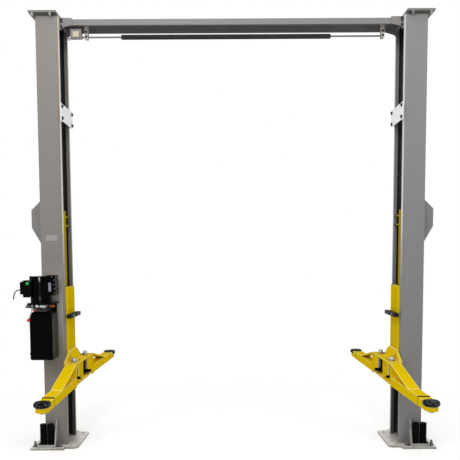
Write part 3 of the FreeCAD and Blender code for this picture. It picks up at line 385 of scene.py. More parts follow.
def foam_sleeve(name):
    # Closed cell foam tube: fine pores and soft dents along it.
    foam = Finish(name)
    pores = foam.node("ShaderNodeTexVoronoi", values={"Vector": foam.place(), "Scale": 420.0})
    dents = foam.noise(1.0, 3.0, foam.stretched((7.0, 30.0, 30.0)))
    tone = foam.blend(dents, (0.014, 0.014, 0.015), (0.042, 0.041, 0.045))
    normal = foam.bump(pores * 0.3 + dents, 0.002, 0.7)
    return foam.surface(tone, 0.85, normal=normal, sheen=0.25)


def moulded_plastic(name, colour, roughness=0.38):
    plastic = Finish(name)
    grain = plastic.noise(380.0, 3.0)
    cloud = plastic.noise(24.0, 3.0)
    tone = plastic.blend(0.8 + 0.4 * (cloud - 0.5), shade(colour, 0.55), colour)
    normal = plastic.bump(grain, 0.0003, 0.5)
    return plastic.surface(tone, roughness + 0.12 * (cloud - 0.5), normal=normal)


def wire_rope(name):
    # Laid strands that wind along X or Z with the cable.
    rope = Finish(name)
    x, y, z = rope.axes()
    lay = rope.math("SINE", (x + z + y * 1.5) * 520.0)
    oil = rope.noise(6.0, 4.0)
    # Darker between the strands: painted shade in the grooves of the lay, with oil noise as well.
    tone = rope.blend(lay * 0.35 + oil * 0.4, (0.03, 0.03, 0.032), (0.30, 0.30, 0.31))
    return rope.surface(tone, 0.4, metallic=0.7, normal=rope.bump(lay, 0.0012, 0.8))


def lever_finish(name):
    # Plated rod with a red ball at its end and a dark arm at its top.
    lever = Finish(name)
    z = lever.axes()[2]
    ball = z.below(BALL_TOP_Z)
    arm = z.above(LEVER_ARM_Z)
    cloud = lever.noise(40.0, 3.0)
    plated = lever.blend(arm, (0.55, 0.55, 0.56), (0.060, 0.056, 0.042))
    colour = lever.blend(ball, plated, (0.80, 0.012, 0.01))
    tone = lever.blend(0.75 + 0.4 * (cloud - 0.5), (0.08, 0.02, 0.02), colour)
    metal = 0.9 * (1.0 - ball) * (1.0 - arm)
    return lever.surface(tone, 0.22 + 0.1 * cloud, metallic=metal, coat=0.1)


def pump_finish(name):
    # Cast block, with a fitting on its outer side and an orange plug on the other.
    pump = Finish(name)
    x, _, z = pump.axes()
    cast = pump.noise(120.0, 5.0)
    blotches = pump.noise(55.0, 5.0)
    metal = pump.blend((blotches - 0.42) * 5.0, (0.030, 0.030, 0.030), (0.30, 0.30, 0.29))
    fitting = pump.blend((blotches - 0.40) * 5.0, (0.012, 0.012, 0.010), (0.13, 0.128, 0.110))
    orange = pump.blend(cast, (0.62, 0.10, 0.005), (0.90, 0.17, 0.008))
    outer = pump.blend(x.below(PUMP_FITTING_X), metal, fitting)
    plug = x.above(PLUG_X)
    colour = pump.blend(plug, outer, (0.02, 0.018, 0.016))
    colour = pump.blend(plug * z.above(PLUG_LOW_Z), colour, orange)
    # The lower part of the block, towards the plug, is made nearly black.
    dark_low_part = z.below(DARK_BLOCK_Z) * x.above(DARK_BLOCK_X)
    colour = pump.blend(dark_low_part * 0.85, colour, (0.006, 0.006, 0.006))
    shine = 0.15 * x.below(-1.536)
    normal = pump.bump(cast, 0.0006, 0.6)
    return pump.surface(colour, 0.46 + 0.2 * (cast - 0.5), metallic=shine, normal=normal, sheen=0.15)


def limit_switch_finish(name):
    # Mauve grey die cast body behind a cream cover.
    switch = Finish(name)
    y = switch.axes()[1]
    cloud = switch.noise(30.0, 4.0)
    colour = switch.blend(y.below(COVER_FACE_Y), MAUVE_GREY, (0.66, 0.58, 0.40))
    tone = switch.blend(0.8 + 0.4 * (cloud - 0.5), shade(MAUVE_GREY, 0.5), colour)
    normal = switch.bump(switch.noise(260.0), 0.0004, 0.5)
    return switch.surface(tone, 0.42 + 0.1 * cloud, normal=normal)



finish = {
    "warm_grey": post_paint("warm_grey_paint", (0.266, 0.243, 0.224), True),
    "grey": post_paint("grey_post_paint", (0.262, 0.256, 0.258)),
    "beam_grey": painted_steel("grey_paint", (0.245, 0.235, 0.228)),
    # A darker copy of the grey paint for the top plates: painted shade, as they are seen from below.
    "plate_grey": painted_steel("plate_grey", (0.205, 0.195, 0.183)),
    # A much lighter copy of the grey paint for the bar hangers: painted light against the shade under the
    # beam.
    "hanger_grey": painted_steel("hanger_grey", (0.62, 0.59, 0.56)),
    "fitting_grey": painted_steel("fitting_grey", (0.095, 0.092, 0.068), sheen=0.1),
    "rod_steel": bare_steel("rod_steel", (0.245, 0.23, 0.222), 0.42),
    "galvanised": zinc_coat("galvanised_steel", (0.82, 0.81, 0.77)),
    "holder_zinc": zinc_coat("holder_zinc", (0.35, 0.34, 0.325)),
    "white": painted_steel("white_paint", (0.93, 0.93, 0.94), 0.4, 0.05),
    # The arms, extensions and yokes take a lighter copy of the carriage yellow: painted light, as their tops
    # face the light.
    "yellow": carriage_paint("yellow_paint", shade(YELLOW, 1.10)),
    "carriage_yellow": carriage_paint("carriage_yellow_paint", YELLOW, True),
    "lock_rod": lock_rod_finish("lock_rod_paint"),
    "black": gloss_black("black_paint", (0.0018, 0.0018, 0.002), 0.20),
    "motor_black": gloss_black("motor_black_paint", TANK_BLACK, 0.20, highlight_x=-1.589),
    "tank_black": gloss_black("tank_black_paint", TANK_BLACK, 0.20, lit_side_x=-1.4965),
    "satin_black": gloss_black("satin_black_paint", (0.0022, 0.0022, 0.0022), 0.36),
    "pin_steel": bare_steel("pin_steel", (0.45, 0.445, 0.43)),
    "steel": bare_steel("bare_steel", (0.62, 0.61, 0.59)),
    "bolt": bare_steel("bolt_steel", (0.36, 0.355, 0.35), 0.36),
    "anchor_steel": bare_steel("anchor_steel", (0.20, 0.198, 0.19), 0.40),
    "dark_bolt": bare_steel("black_bolt_steel", (0.035, 0.035, 0.035), 0.42),
    "rope": wire_rope("steel_cable"),
    "rubber": moulded_rubber("black_rubber", (0.006, 0.006, 0.006)),
    "pad_rubber": moulded_rubber("pad_rubber", (0.002, 0.002, 0.002), 0.30, 0.06, painted_glints=0.34),
    "foam": foam_sleeve("foam_sleeve"),
    "pump": pump_finish("cast_aluminium"),
    "red": moulded_plastic("red_plastic", (0.85, 0.012, 0.008)),
    "green": moulded_plastic("green_plastic", (0.010, 0.33, 0.055)),
    "lever": lever_finish("lever_steel_and_ball"),
    "limit_switch": limit_switch_finish("limit_switch_casting"),
    "blank_plate": moulded_plastic("blank_plate", (0.24, 0.27, 0.34), 0.3),
    "bare_label": moulded_plastic("bare_label", (0.36, 0.345, 0.325), 0.34),
    "white_plastic": moulded_plastic("white_plastic", (0.78, 0.77, 0.74)),
    "silver": bare_steel("silver_fitting", (0.78, 0.78, 0.76), 0.25),
}

NODE_FINISH = {
    "left_post": "warm_grey",
    "right_post": "grey",
    "overhead_beam": "beam_grey",
    "beam_brackets": "beam_grey",
    "bar_hangers": "hanger_grey",
    "tie_plates": "white",
    "adapter_holders": "holder_zinc",
    "height_adapters": "satin_black",
    "top_sheaves": "black",
    "overhead_cables": "rope",
    "shutoff_bar": "rod_steel",
    "bar_padding": "foam",
    "limit_switch": "limit_switch",
    "power_bracket": "satin_black",
    "pump_motor": "motor_black",
    "switch_box": "satin_black",
    "start_button": "green",
    "pump_block": "pump",
    "oil_tank": "tank_black",
    "filler_cap": "red",
    "lowering_lever": "lever",
    "motor_cable": "rubber",
}
SIDE_FINISH = {
    "base_plate": "galvanised",
    "top_plate": "plate_grey",
    "latch_cover": "beam_grey",
    "cylinder": "satin_black",
    "cable_drops": "rope",
    "carriage": "carriage_yellow",
    "yoke": "yellow",
    "pivot_pins": "pin_steel",
    "arm_locks": "lock_rod",
    "door_guard": "rubber",
}
for side in SIDES:
    for piece, name in SIDE_FINISH.items():
        NODE_FINISH[side + "_" + piece] = name
for arm in ARMS:
    NODE_FINISH[arm + "_arm"] = "yellow"
    NODE_FINISH[arm + "_extension"] = "yellow"
    NODE_FINISH[arm + "_pad"] = "rubber"
for node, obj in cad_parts.items():
    for holder in obj.material_slots:
        holder.material = finish[NODE_FINISH[node]]


# Making pieces

def add_piece(name, mesh, body):
    obj = bpy.data.objects.new(name, mesh)
    bpy.context.scene.collection.objects.link(obj)
    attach(obj, body)
    return obj


def mesh_from(name, bm, finish_name, smooth=False):
    bmesh.ops.recalc_face_normals(bm, faces=bm.faces)
    mesh = bpy.data.meshes.new(name)
    bm.to_mesh(mesh)
    bm.free()
    mesh.materials.append(finish[finish_name])
    for face in mesh.polygons:
        face.use_smooth = smooth
    return mesh


def rounded_box(bm, low, high, radius, segments=2):
    low = Vector(low)
    high = Vector(high)
    size = high - low
    made = bmesh.ops.create_cube(bm, size=1.0)
    verts = made["verts"]
    bmesh.ops.scale(bm, vec=size, verts=verts)
    bmesh.ops.translate(bm, vec=(low + high) / 2, verts=verts)
    edges = list({edge for vert in verts for edge in vert.link_edges})
    bmesh.ops.bevel(bm, geom=edges, offset=radius, segments=segments, affect="EDGES", profile=0.6)


def loft(bm, rings):
    # Skins closed rings of vertices one after another and closes both ends.
    for low, high in zip(rings, rings[1:]):
        for i in range(len(low)):
            j = (i + 1) % len(low)
            bm.faces.new((low[i], low[j], high[j], high[i]))
    bm.faces.new(list(reversed(rings[0])))
    bm.faces.new(rings[-1])


def turned(bm, profile, centre, axis=UP, sides=48):
    # A solid of revolution from (radius, height) pairs, closed at both ends.
    turn = Vector(UP).rotation_difference(Vector(axis)).to_matrix()
    rings = []
    for radius, height in profile:
        ring = []
        for i in range(sides):
            angle = 2 * math.pi * i / sides
            point = Vector((radius * math.cos(angle), radius * math.sin(angle), height))
            ring.append(bm.verts.new(turn @ point + Vector(centre)))
        rings.append(ring)
    loft(bm, rings)


def turned_piece(name, parts, finish_name, body, sides=48, smooth=False):
    # parts are (profile, centre) or (profile, centre, axis).
    bm = bmesh.new()
    for part in parts:
        turned(bm, *part, sides=sides)
    return add_piece(name, mesh_from(name, bm, finish_name, smooth), body)


class Tree:
    """A Geometry Nodes tree with named inputs, which ends realized and in its finish."""

    def __init__(self, name, source, sizes):
        self.tree = bpy.data.node_groups.new(name, "GeometryNodeTree")
        socket = self.tree.interface.new_socket
        socket(source, in_out="INPUT", socket_type="NodeSocketGeometry")
        for size in sizes:
            socket(size, in_out="INPUT", socket_type="NodeSocketFloat")
        socket("Finish", in_out="INPUT", socket_type="NodeSocketMaterial")
        socket("Result", in_out="OUTPUT", socket_type="NodeSocketGeometry")
        self.given = self.node("NodeGroupInput").outputs

    def node(self, kind, values=None, **settings):
        made = self.tree.nodes.new(kind)
        for key, value in settings.items():
            setattr(made, key, value)
        for key, value in (values or {}).items():
            if isinstance(value, bpy.types.NodeSocket):
                self.tree.links.new(value, made.inputs[key])
            else:
                made.inputs[key].default_value = value
        return made

    def math(self, operation, a, b):
        return self.node("ShaderNodeMath", {0: a, 1: b}, operation=operation).outputs[0]

    def spread(self, points, instance, **more):
        values = {"Points": points, "Instance": instance, **more}
        placed = self.node("GeometryNodeInstanceOnPoints", values)
        real = self.node("GeometryNodeRealizeInstances", {0: placed.outputs[0]})
        values = {"Geometry": real.outputs[0], "Material": self.given["Finish"]}
        dressed = self.node("GeometryNodeSetMaterial", values)
        self.node("NodeGroupOutput", {0: dressed.outputs[0]})
        return self.tree


# Fasteners, placed by a Geometry Nodes tree on points that know which way they face

def fastener_tree():
    sizes = ("Head Radius", "Head Height", "Washer Radius", "Washer Height", "Stud Radius", "Stud Length")
    work = Tree("fastener_on_points", "Points", sizes)
    given = work.given
    joined = work.node("GeometryNodeJoinGeometry")
    for sides, radius, height, below in (
        (6, "Head Radius", "Head Height", "Washer Height"),
        (20, "Washer Radius", "Washer Height", None),
        (12, "Stud Radius", "Stud Length", None),
    ):
        values = {"Vertices": sides, "Radius": given[radius], "Depth": given[height]}
        drum = work.node("GeometryNodeMeshCylinder", values)
        middle = work.math("MULTIPLY", given[height], 0.5)
        if below:
            middle = work.math("ADD", middle, given[below])
        up = work.node("ShaderNodeCombineXYZ", {"Z": middle})
        values = {"Geometry": drum.outputs["Mesh"], "Translation": up.outputs[0]}
        lifted = work.node("GeometryNodeTransform", values)
        work.tree.links.new(lifted.outputs[0], joined.inputs[0])
    facing = work.node("GeometryNodeInputNamedAttribute", {"Name": "facing"}, data_type="FLOAT_VECTOR")
    values = {"Vector": facing.outputs["Attribute"]}
    align = work.node("FunctionNodeAlignRotationToVector", values, axis="Z")
    return work.spread(given["Points"], joined.outputs[0], Rotation=align.outputs[0])


FASTENER = fastener_tree()


def baked_tree(name, source, tree, values):
    # Runs a tree on a source mesh and gives back its result as a plain mesh.
    carrier = bpy.data.objects.new(name, source)
    bpy.context.scene.collection.objects.link(carrier)
    modifier = carrier.modifiers.new("tree", "NODES")
    modifier.node_group = tree
    for item in tree.interface.items_tree:
        if item.in_out == "INPUT" and item.name in values:
            modifier[item.identifier] = values[item.name]
    graph = bpy.context.evaluated_depsgraph_get()
    mesh = bpy.data.meshes.new_from_object(carrier.evaluated_get(graph))
    carrier.modifiers.clear()
    bpy.data.objects.remove(carrier)
    mesh.name = name
    return mesh


def fasteners(name, body, finish_name, spots, size):
    """spots are (place, facing) pairs; size holds (radius, height) of head, washer and stud."""
    head, washer, stud = (*size, ABSENT, ABSENT)[:3]
    source = bpy.data.meshes.new(name + "_points")
    source.from_pydata([place for place, _ in spots], [], [])
    facing = source.attributes.new("facing", "FLOAT_VECTOR", "POINT")
    for i, (_, way) in enumerate(spots):
        facing.data[i].vector = way
    values = {
        "Head Radius": head[0],
        "Head Height": head[1],
        "Washer Radius": max(washer[0], head[0] * 0.9),
        "Washer Height": max(washer[1], LEAST_WASHER),
        "Stud Radius": max(stud[0], head[0] * 0.3),
        "Stud Length": max(stud[1], LEAST_STUD),
        "Finish": finish[finish_name],
    }
    mesh = baked_tree(name, source, FASTENER, values)
    return add_piece(name, mesh, body)


ABSENT = (0.0, 0.0)
LEAST_WASHER = 0.0008
LEAST_STUD = 0.002
ANCHOR_STUD = ((0.0165, 0.016), (0.022, 0.003), (0.0095, 0.046))
BASE_BOLT = ((0.0145, 0.008), (0.019, 0.002))
TIE_PLATE_BOLT = ((0.0125, 0.009), (0.016, 0.002))
TOP_PLATE_BOLT = ((0.014, 0.012), (0.019, 0.003), (0.008, 0.022))
BRACKET_NUT = ((0.010, 0.008), (0.013, 0.002))
LATCH_COVER_SCREW = ((0.007, 0.0012), (0.010, 0.0008))
GUARD_BOLT = ((0.008, 0.003), (0.011, 0.001))
YOKE_SCREW = ((0.012, 0.010), (0.015, 0.002), (0.006, 0.016))
SHELF_BOLT = ((0.006, 0.006), (0.008, 0.0015))
HANGER_PIN = ((0.0075, 0.004), (0.010, 0.002))
CAPACITOR_SCREW = ((0.0036, 0.0025),)
SMALL_SCREW = ((0.0035, 0.002),)

# Name, body, slot, finish, size, facing, and places on the right side that are the same in front and behind
SIDE_FASTENERS = (
    ("anchor_bolts", "frame", "bare_steel", "anchor_steel", ANCHOR_STUD, "up",
     ((1.710, 0.200, BASE_TOP_Z), (1.500, 0.200, BASE_TOP_Z))),
    ("inner_bolts", "frame", "galvanised_steel", "galvanised", BASE_BOLT, "up",
     ((1.385, 0.170, BASE_TOP_Z),)),
    ("tie_plate_bolts", "frame", "black_paint", "dark_bolt", TIE_PLATE_BOLT, "inward",
     ((1.427, 0.148, 2.818), (1.427, 0.148, 2.915))),
    ("top_plate_bolts", "frame", "bare_steel", "bolt", TOP_PLATE_BOLT, "down",
     ((1.500, 0.176, 3.667), (1.646, 0.176, 3.667))),
    ("bracket_nuts", "frame", "black_paint", "dark_bolt", BRACKET_NUT, "inward",
     ((1.433, 0.108, 3.642), (1.433, 0.108, 3.627), (1.433, 0.108, 3.584))),
    ("latch_cover_screws", "frame", "bare_steel", "bolt", LATCH_COVER_SCREW, "outward",
     ((1.7348, 0.045, 1.935), (1.7348, 0.045, 2.026))),
    ("door_guard_bolts", "carriage", "bare_steel", "bolt", GUARD_BOLT, "inward",
     ((1.387, 0.075, 1.1405),)),
)
YOKE_SCREW_PLACE = (1.398, 0.164, 0.750)
for side, s in SIDES.items():
    ways = {"up": UP, "down": DOWN, "inward": (-s, 0, 0), "outward": (s, 0, 0)}
    for piece, body, slot, finish_name, size, way, places in SIDE_FASTENERS:
        body = CARRIAGE_BODY[side] if body == "carriage" else body
        spots = [((s * x, f * y, z), ways[way]) for x, y, z in places for f in (1, -1)]
        fasteners(side + "_" + piece, body, finish_name, spots, size)
    x, y, z = YOKE_SCREW_PLACE
    spots = [((s * x, y, z), UP)]
    fasteners(side + "_yoke_screw", CARRIAGE_BODY[side], "steel", spots, YOKE_SCREW)

SHELF_BOLTS = [(-1.690, y, 1.270) for y in (-0.330, -0.185)]
CAPACITOR_SCREWS = [(x, -0.300, z) for x, z in (
    (-1.483, 1.352),
    (-1.480, 1.390),
    (-1.486, 1.425),
    (-1.481, 1.462),
    (-1.538, 1.352),
    (-1.538, 1.486),
    (-1.500, 1.490),
)]
LIMIT_SWITCH_SCREWS = [(x, -0.082, z) for x in (-1.335, -1.294) for z in (3.514, 3.548)]
HANGER_PINS = [(x, -0.021, z) for x in (-1.242, 1.293) for z in (3.568, 3.531)]
SWITCH_BOX_SCREWS = [(x, -0.348, z) for x in (-1.722, -1.665) for z in (1.327, 1.455)]
for piece, slot, finish_name, size, way, places in (
    ("power_bracket_bolts", "bare_steel", "bolt", SHELF_BOLT, UP, SHELF_BOLTS),
    ("capacitor_screws", "bare_steel", "bolt", CAPACITOR_SCREW, FRONT, CAPACITOR_SCREWS),
    ("limit_switch_screws", "bare_steel", "bolt", SMALL_SCREW, FRONT, LIMIT_SWITCH_SCREWS),
    ("bar_hanger_pins", "black_paint", "dark_bolt", HANGER_PIN, FRONT, HANGER_PINS),
    ("switch_box_screws", "bare_steel", "bolt", SMALL_SCREW, FRONT, SWITCH_BOX_SCREWS),
):
    fasteners(piece, "frame", finish_name, [(place, way) for place in places], size)


# Round pads: two crowned halves of rubber on a screw

PAD_RADIUS = 0.062
PAD_FOOT_Z = 0.605
PAD_CROWN_Z = 0.629
PAD_SIDES = 72
PAD_RINGS = 14
# The side of a pad as (share of its radius, height above its foot)
PAD_RIM = ((0.40, 0.0), (0.94, 0.0), (1.0, 0.004), (1.0, 0.016))
STUD_PITCH = 0.0142
STUD_FIELD_RADIUS = 0.0560
STUD_MIDDLE_Z = 0.6283
STUD_SIZES = {"Foot Radius": 0.0078, "Top Radius": 0.0042, "Height": 0.0085}
PAD_SCREW = [(0.0190, 0.552), (0.0200, 0.5535), (0.0200, 0.6045), (0.030, 0.6045), (0.030, 0.606)]


def pad_mesh(name, centre, turn):
    bm = bmesh.new()
    rows = [(share, PAD_FOOT_Z + height) for share, height in PAD_RIM]
    rows += [(1.0 - 0.02 - 0.97 * k / (PAD_RINGS - 1), None) for k in range(PAD_RINGS)]
    rings = []
    for share, level in rows:
        ring = []
        for i in range(PAD_SIDES):
            angle = 2 * math.pi * i / PAD_SIDES
            scallop = 1.0 - 0.012 * (1 + math.cos(12 * angle))
            x = PAD_RADIUS * share * math.cos(angle) * scallop
            y = PAD_RADIUS * share * math.sin(angle) * scallop
            z = level
            if level is None:
                groove = min(1.0, max(0.0, (abs(x) - 0.005) / 0.008))
                edge = min(1.0, (1.0 - share) / 0.12)
                z = PAD_CROWN_Z - 0.004 * (1 - groove) - 0.006 * (1 - edge) ** 2
            spot = turn @ Vector((x, y, 0))
            ring.append(bm.verts.new((centre[0] + spot.x, centre[1] + spot.y, z)))
        rings.append(ring)
    loft(bm, rings)
    return mesh_from(name, bm, "pad_rubber", smooth=True)


def stud_tree():
    work = Tree("studs_on_pad", "Points", ("Foot Radius", "Top Radius", "Height"))
    given = work.given
    values = {
        "Vertices": 4,
        "Radius Bottom": given["Foot Radius"],
        "Radius Top": given["Top Radius"],
        "Depth": given["Height"],
    }
    stud = work.node("GeometryNodeMeshCone", values)
    return work.spread(given["Points"], stud.outputs["Mesh"])


STUD = stud_tree()


def pad_studs(name, centre, turn, body):
    places = []
    for i in range(-6, 7):
        for j in range(-6, 7):
            x = (i + 0.5 * (j % 2)) * STUD_PITCH
            y = j * STUD_PITCH * 0.87
            if math.hypot(x, y) < STUD_FIELD_RADIUS:
                spot = turn @ Vector((x, y, 0))
                places.append((centre[0] + spot.x, centre[1] + spot.y, STUD_MIDDLE_Z))
    source = bpy.data.meshes.new(name + "_points")
    source.from_pydata(places, [], [])
    values = {**STUD_SIZES, "Finish": finish["pad_rubber"]}
    return add_piece(name, baked_tree(name, source, STUD, values), body)


ARM_ANGLE = {"left_front": -0.9, "right_front": 2.0, "left_rear": -2.2, "right_rear": -2.0}
PAD_REACH = 0.890


def arm_axes(arm):
    # The pivot, the direction along the arm and the direction towards the outside of the lift.
    s = -1 if arm.startswith("left") else 1
    f = -1 if arm.endswith("front") else 1
    angle = math.radians(ARM_ANGLE[arm])
    along = Vector((s * math.sin(angle), f * math.cos(angle), 0))
    outward = Vector((s * math.cos(angle), -f * math.sin(angle), 0))
    return Vector((s * PIVOT[0], f * PIVOT[1], 0)), along, outward


for arm in ARMS:
    pivot, along, outward = arm_axes(arm)
    centre = pivot + along * PAD_REACH
    turn = Matrix.Rotation(math.atan2(outward.y, outward.x), 3, "Z")
    body = arm + "_pad_body"
    pad = add_piece(arm + "_rubber", pad_mesh(arm + "_rubber", centre, turn), body)
    screw = [(PAD_SCREW, (centre.x, centre.y, 0))]
    turned_piece(arm + "_screw", screw, "bolt", body, smooth=True)
    pad_studs(arm + "_studs", centre, turn, body)
    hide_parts(arm + "_pad")


# Small parts on the carriages: pin caps and the handles of the rear arm locks

def joined_boxes(name, boxes, finish_name, radius=0.0015):
    bm = bmesh.new()
    for low, high in boxes:
        rounded_box(bm, low, high, radius)
    return mesh_from(name, bm, finish_name)


def ordered(a, b):
    return tuple(min(p, q) for p, q in zip(a, b)), tuple(max(p, q) for p, q in zip(a, b))


PIN_CAP = [
    (0.0225, 0.762),
    (0.0225, 0.7675),
    (0.0190, 0.7685),
    (0.0190, 0.7830),
    (0.0165, 0.7865),
    (0.0080, 0.7870),
    (0.0070, 0.7835),
]
LOCK_HANDLE_BARS = (
    ((1.345, 0.100, 0.596), (1.364, 0.1085, 0.727)),
    ((1.357, 0.100, 0.604), (1.291, 0.1085, 0.632)),
)
for side, s in SIDES.items():
    body = CARRIAGE_BODY[side]
    caps = [(PIN_CAP, (s * PIVOT[0], f * PIVOT[1], 0)) for f in (-1, 1)]
    turned_piece(side + "_pin_caps", caps, "pin_steel", body, 32, True)
    bars = [ordered((s * a[0], *a[1:]), (s * b[0], *b[1:])) for a, b in LOCK_HANDLE_BARS]
    handle = joined_boxes(side + "_lock_handle", bars, "satin_black")
    add_piece(side + "_lock_handle", handle, body)

# The release grip of a front arm lock: a plated rod beside the end plate, with a black foot
GRIP_ALONG = 0.0820
GRIP_ROD_ACROSS = 0.0495
GRIP_FOOT_ACROSS = 0.0720
GRIP_FOOT_Z = 0.631
GRIP_ROD = [(0.0042, 0.638), (0.0050, 0.640), (0.0050, 0.727), (0.0042, 0.729)]
GRIP_FOOT = [
    (0.0080, 0.0),
    (0.0115, 0.002),
    (0.0125, 0.006),
    (0.0125, 0.024),
    (0.0115, 0.028),
    (0.0080, 0.030),
]
for arm in ARMS[:2]:
    pivot, along, outward = arm_axes(arm)
    body = arm + "_arm_body"
    spot = pivot + along * GRIP_ALONG - outward * GRIP_ROD_ACROSS
    rod = [(GRIP_ROD, (spot.x, spot.y, 0))]
    turned_piece(arm + "_grip_rod", rod, "pin_steel", body, 20, True)
    spot = pivot + along * GRIP_ALONG - outward * GRIP_FOOT_ACROSS
    foot = [(GRIP_FOOT, (spot.x, spot.y, GRIP_FOOT_Z), outward)]
    turned_piece(arm + "_grip_foot", foot, "satin_black", body, 24, True)

# A thin black band around the extension where it enters the end of the arm: a dark piece that stands for the
# shade on the arm's end face.
SHADE_BAND_HALF_WIDTH = 0.0447
SHADE_BAND_Z = (0.5630, 0.6335)
SHADE_BAND_REACH = (0.7415, 0.7575)


def shade_band_mesh(name, pivot, along, outward):
    bm = bmesh.new()
    low, high = SHADE_BAND_Z
    half = SHADE_BAND_HALF_WIDTH
    rings = []
    for reach in SHADE_BAND_REACH:
        ring = []
        for across, z in ((-half, low), (half, low), (half, high), (-half, high)):
            spot = pivot + along * reach + outward * across
            ring.append(bm.verts.new((spot.x, spot.y, z)))
        rings.append(ring)
    loft(bm, rings)
    return mesh_from(name, bm, "rubber")


for arm in ARMS:
    name = arm + "_extension_shade_band"
    add_piece(name, shade_band_mesh(name, *arm_axes(arm)), arm + "_extension_body")


# Power unit: plates, ribs, bands and fittings

MOTOR_AXIS = (-1.606, -0.262)
MOTOR_RADIUS = 0.0835
TANK_RIB_X = (-1.648, -1.610, -1.572, -1.534)
DRAIN_PLUG = [(0.013, 0.0), (0.013, 0.006), (0.009, 0.007), (0.009, 0.013)]
BUTTON_RING = [(0.0165, 0.0), (0.0180, 0.001), (0.0180, 0.004), (0.0150, 0.0045)]
RETURN_PIPE = [
    (-1.590, -0.322, 1.254),
    (-1.582, -0.329, 1.240),
    (-1.566, -0.331, 1.235),
    (-1.552, -0.330, 1.240),
    (-1.546, -0.328, 1.250),
    (-1.546, -0.318, 1.256),
]
RETURN_PIPE_RADIUS = 0.0035
PORT_NUT = [(0.0125, 0.0), (0.0125, 0.010), (0.0085, 0.012), (0.0085, 0.020), (0.011, 0.021), (0.011, 0.029)]
SMALL_NUT = [(0.010, 0.0), (0.010, 0.008), (0.006, 0.010), (0.006, 0.016)]
PIPE_NUT = [(0.009, 0.0), (0.009, 0.012), (0.006, 0.014), (0.006, 0.018)]
UNION_RING = [(0.0085, 0.0), (0.0102, 0.001), (0.0102, 0.007), (0.0085, 0.008)]
UNION = [
    (0.0050, 0.0),
    (0.0078, 0.002),
    (0.0078, 0.012),
    (0.0098, 0.013),
    (0.0098, 0.030),
    (0.0080, 0.032),
    (0.0080, 0.050),
    (0.0096, 0.051),
    (0.0096, 0.068),
    (0.0082, 0.070),
    (0.0082, 0.092),
]
INWARD_X = (1, 0, 0)
OUTWARD_X = (-1, 0, 0)


def plate(name, low, high, finish_name):
    return add_piece(name, joined_boxes(name, [(low, high)], finish_name, 0.0006), "frame")


def band(z, radius):
    return [(MOTOR_RADIUS, z), (radius, z + 0.001), (radius, z + 0.004), (MOTOR_RADIUS, z + 0.005)]


plate("capacitor_plate", (-1.542, -0.3012, 1.366), (-1.509, -0.2995, 1.440), "blank_plate")
plate("post_plate", (-1.590, -0.1562, 1.790), (-1.492, -0.1545, 1.839), "bare_label")
bm = bmesh.new()
rounded_box(bm, (-1.6855, -0.3335, 0.9915), (-1.4935, -0.1785, 0.9965), 0.0022)
for x in TANK_RIB_X:
    rounded_box(bm, (x - 0.004, -0.3345, 1.010), (x + 0.004, -0.3305, 1.150), 0.0018)
add_piece("tank_ribs", mesh_from("tank_ribs", bm, "black"), "frame")
plug = [(DRAIN_PLUG, (-1.684, -0.300, 0.845), OUTWARD_X)]
turned_piece("tank_drain_plug", plug, "satin_black", "frame", 6)
rows = ((1.286, 0.0862), (1.296, 0.0862), (1.306, 0.0862), (1.440, 0.0858), (1.450, 0.0858))
bands = [(band(z, radius), (*MOTOR_AXIS, 0)) for z, radius in rows]
turned_piece("motor_bands", bands, "black", "frame", 64)
ring = [(BUTTON_RING, (-1.688, -0.348, 1.437), FRONT)]
turned_piece("button_ring", ring, "satin_black", "frame", 40, True)


def bent_pipe(name, points, radius, finish_name, sides=12, steps=6):
    # A smooth pipe through the points, closed at both ends.
    path = [Vector(point) for point in points]
    fine = []
    for k in range(len(path) - 1):
        a = path[max(k - 1, 0)]
        b, c = path[k], path[k + 1]
        d = path[min(k + 2, len(path) - 1)]
        for step in range(steps):
            t = step / steps
            square = (2 * a - 5 * b + 4 * c - d) * t ** 2
            cube = (3 * b - a - 3 * c + d) * t ** 3
            fine.append(0.5 * (2 * b + (c - a) * t + square + cube))
    fine.append(path[-1])
    bm = bmesh.new()
    rings = []
    across = Vector((0, 1, 0))
    for k, centre in enumerate(fine):
        way = (fine[min(k + 1, len(fine) - 1)] - fine[max(k - 1, 0)]).normalized()
        across = (across - way * across.dot(way)).normalized()
        third = way.cross(across)
        ring = []
        for i in range(sides):
            turn = 2 * math.pi * i / sides
            spoke = across * math.cos(turn) + third * math.sin(turn)
            ring.append(bm.verts.new(centre + spoke * radius))
        rings.append(ring)
    loft(bm, rings)
    return add_piece(name, mesh_from(name, bm, finish_name, True), "frame")


bent_pipe("return_pipe", RETURN_PIPE, RETURN_PIPE_RADIUS, "silver")
fittings = [
    (PORT_NUT, (-1.615, -0.325, 1.249), FRONT),
    (SMALL_NUT, (-1.587, -0.325, 1.248), FRONT),
    (PIPE_NUT, (-1.566, -0.325, 1.249), FRONT),
    (UNION_RING, (-1.6660, -0.318, 1.2515), INWARD_X),
]
turned_piece("pump_fittings", fittings, "silver", "frame", 6)
union = [(UNION, (-1.7060, -0.318, 1.2515), INWARD_X)]
turned_piece("pump_union", union, "fitting_grey", "frame", 6)


# Limit switch roller on its short arm, beside the rear gusset

ROLLER = [(0.012, 0.0), (0.0125, 0.001), (0.0125, 0.009), (0.012, 0.010)]
ROLLER_PIN = [(0.004, 0.0), (0.004, 0.003)]
roller = [(ROLLER, (-1.380, -0.044, 3.500), FRONT)]
turned_piece("limit_switch_roller", roller, "white_plastic", "frame", 32, True)
bm = bmesh.new()
turned(bm, ROLLER_PIN, (-1.380, -0.054, 3.500), FRONT, 16)
rounded_box(bm, (-1.384, -0.0435, 3.496), (-1.364, -0.0405, 3.512), 0.001)
add_piece("limit_switch_arm", mesh_from("limit_switch_arm", bm, "dark_bolt"), "frame")


# Rounded tops of the spare height adapters

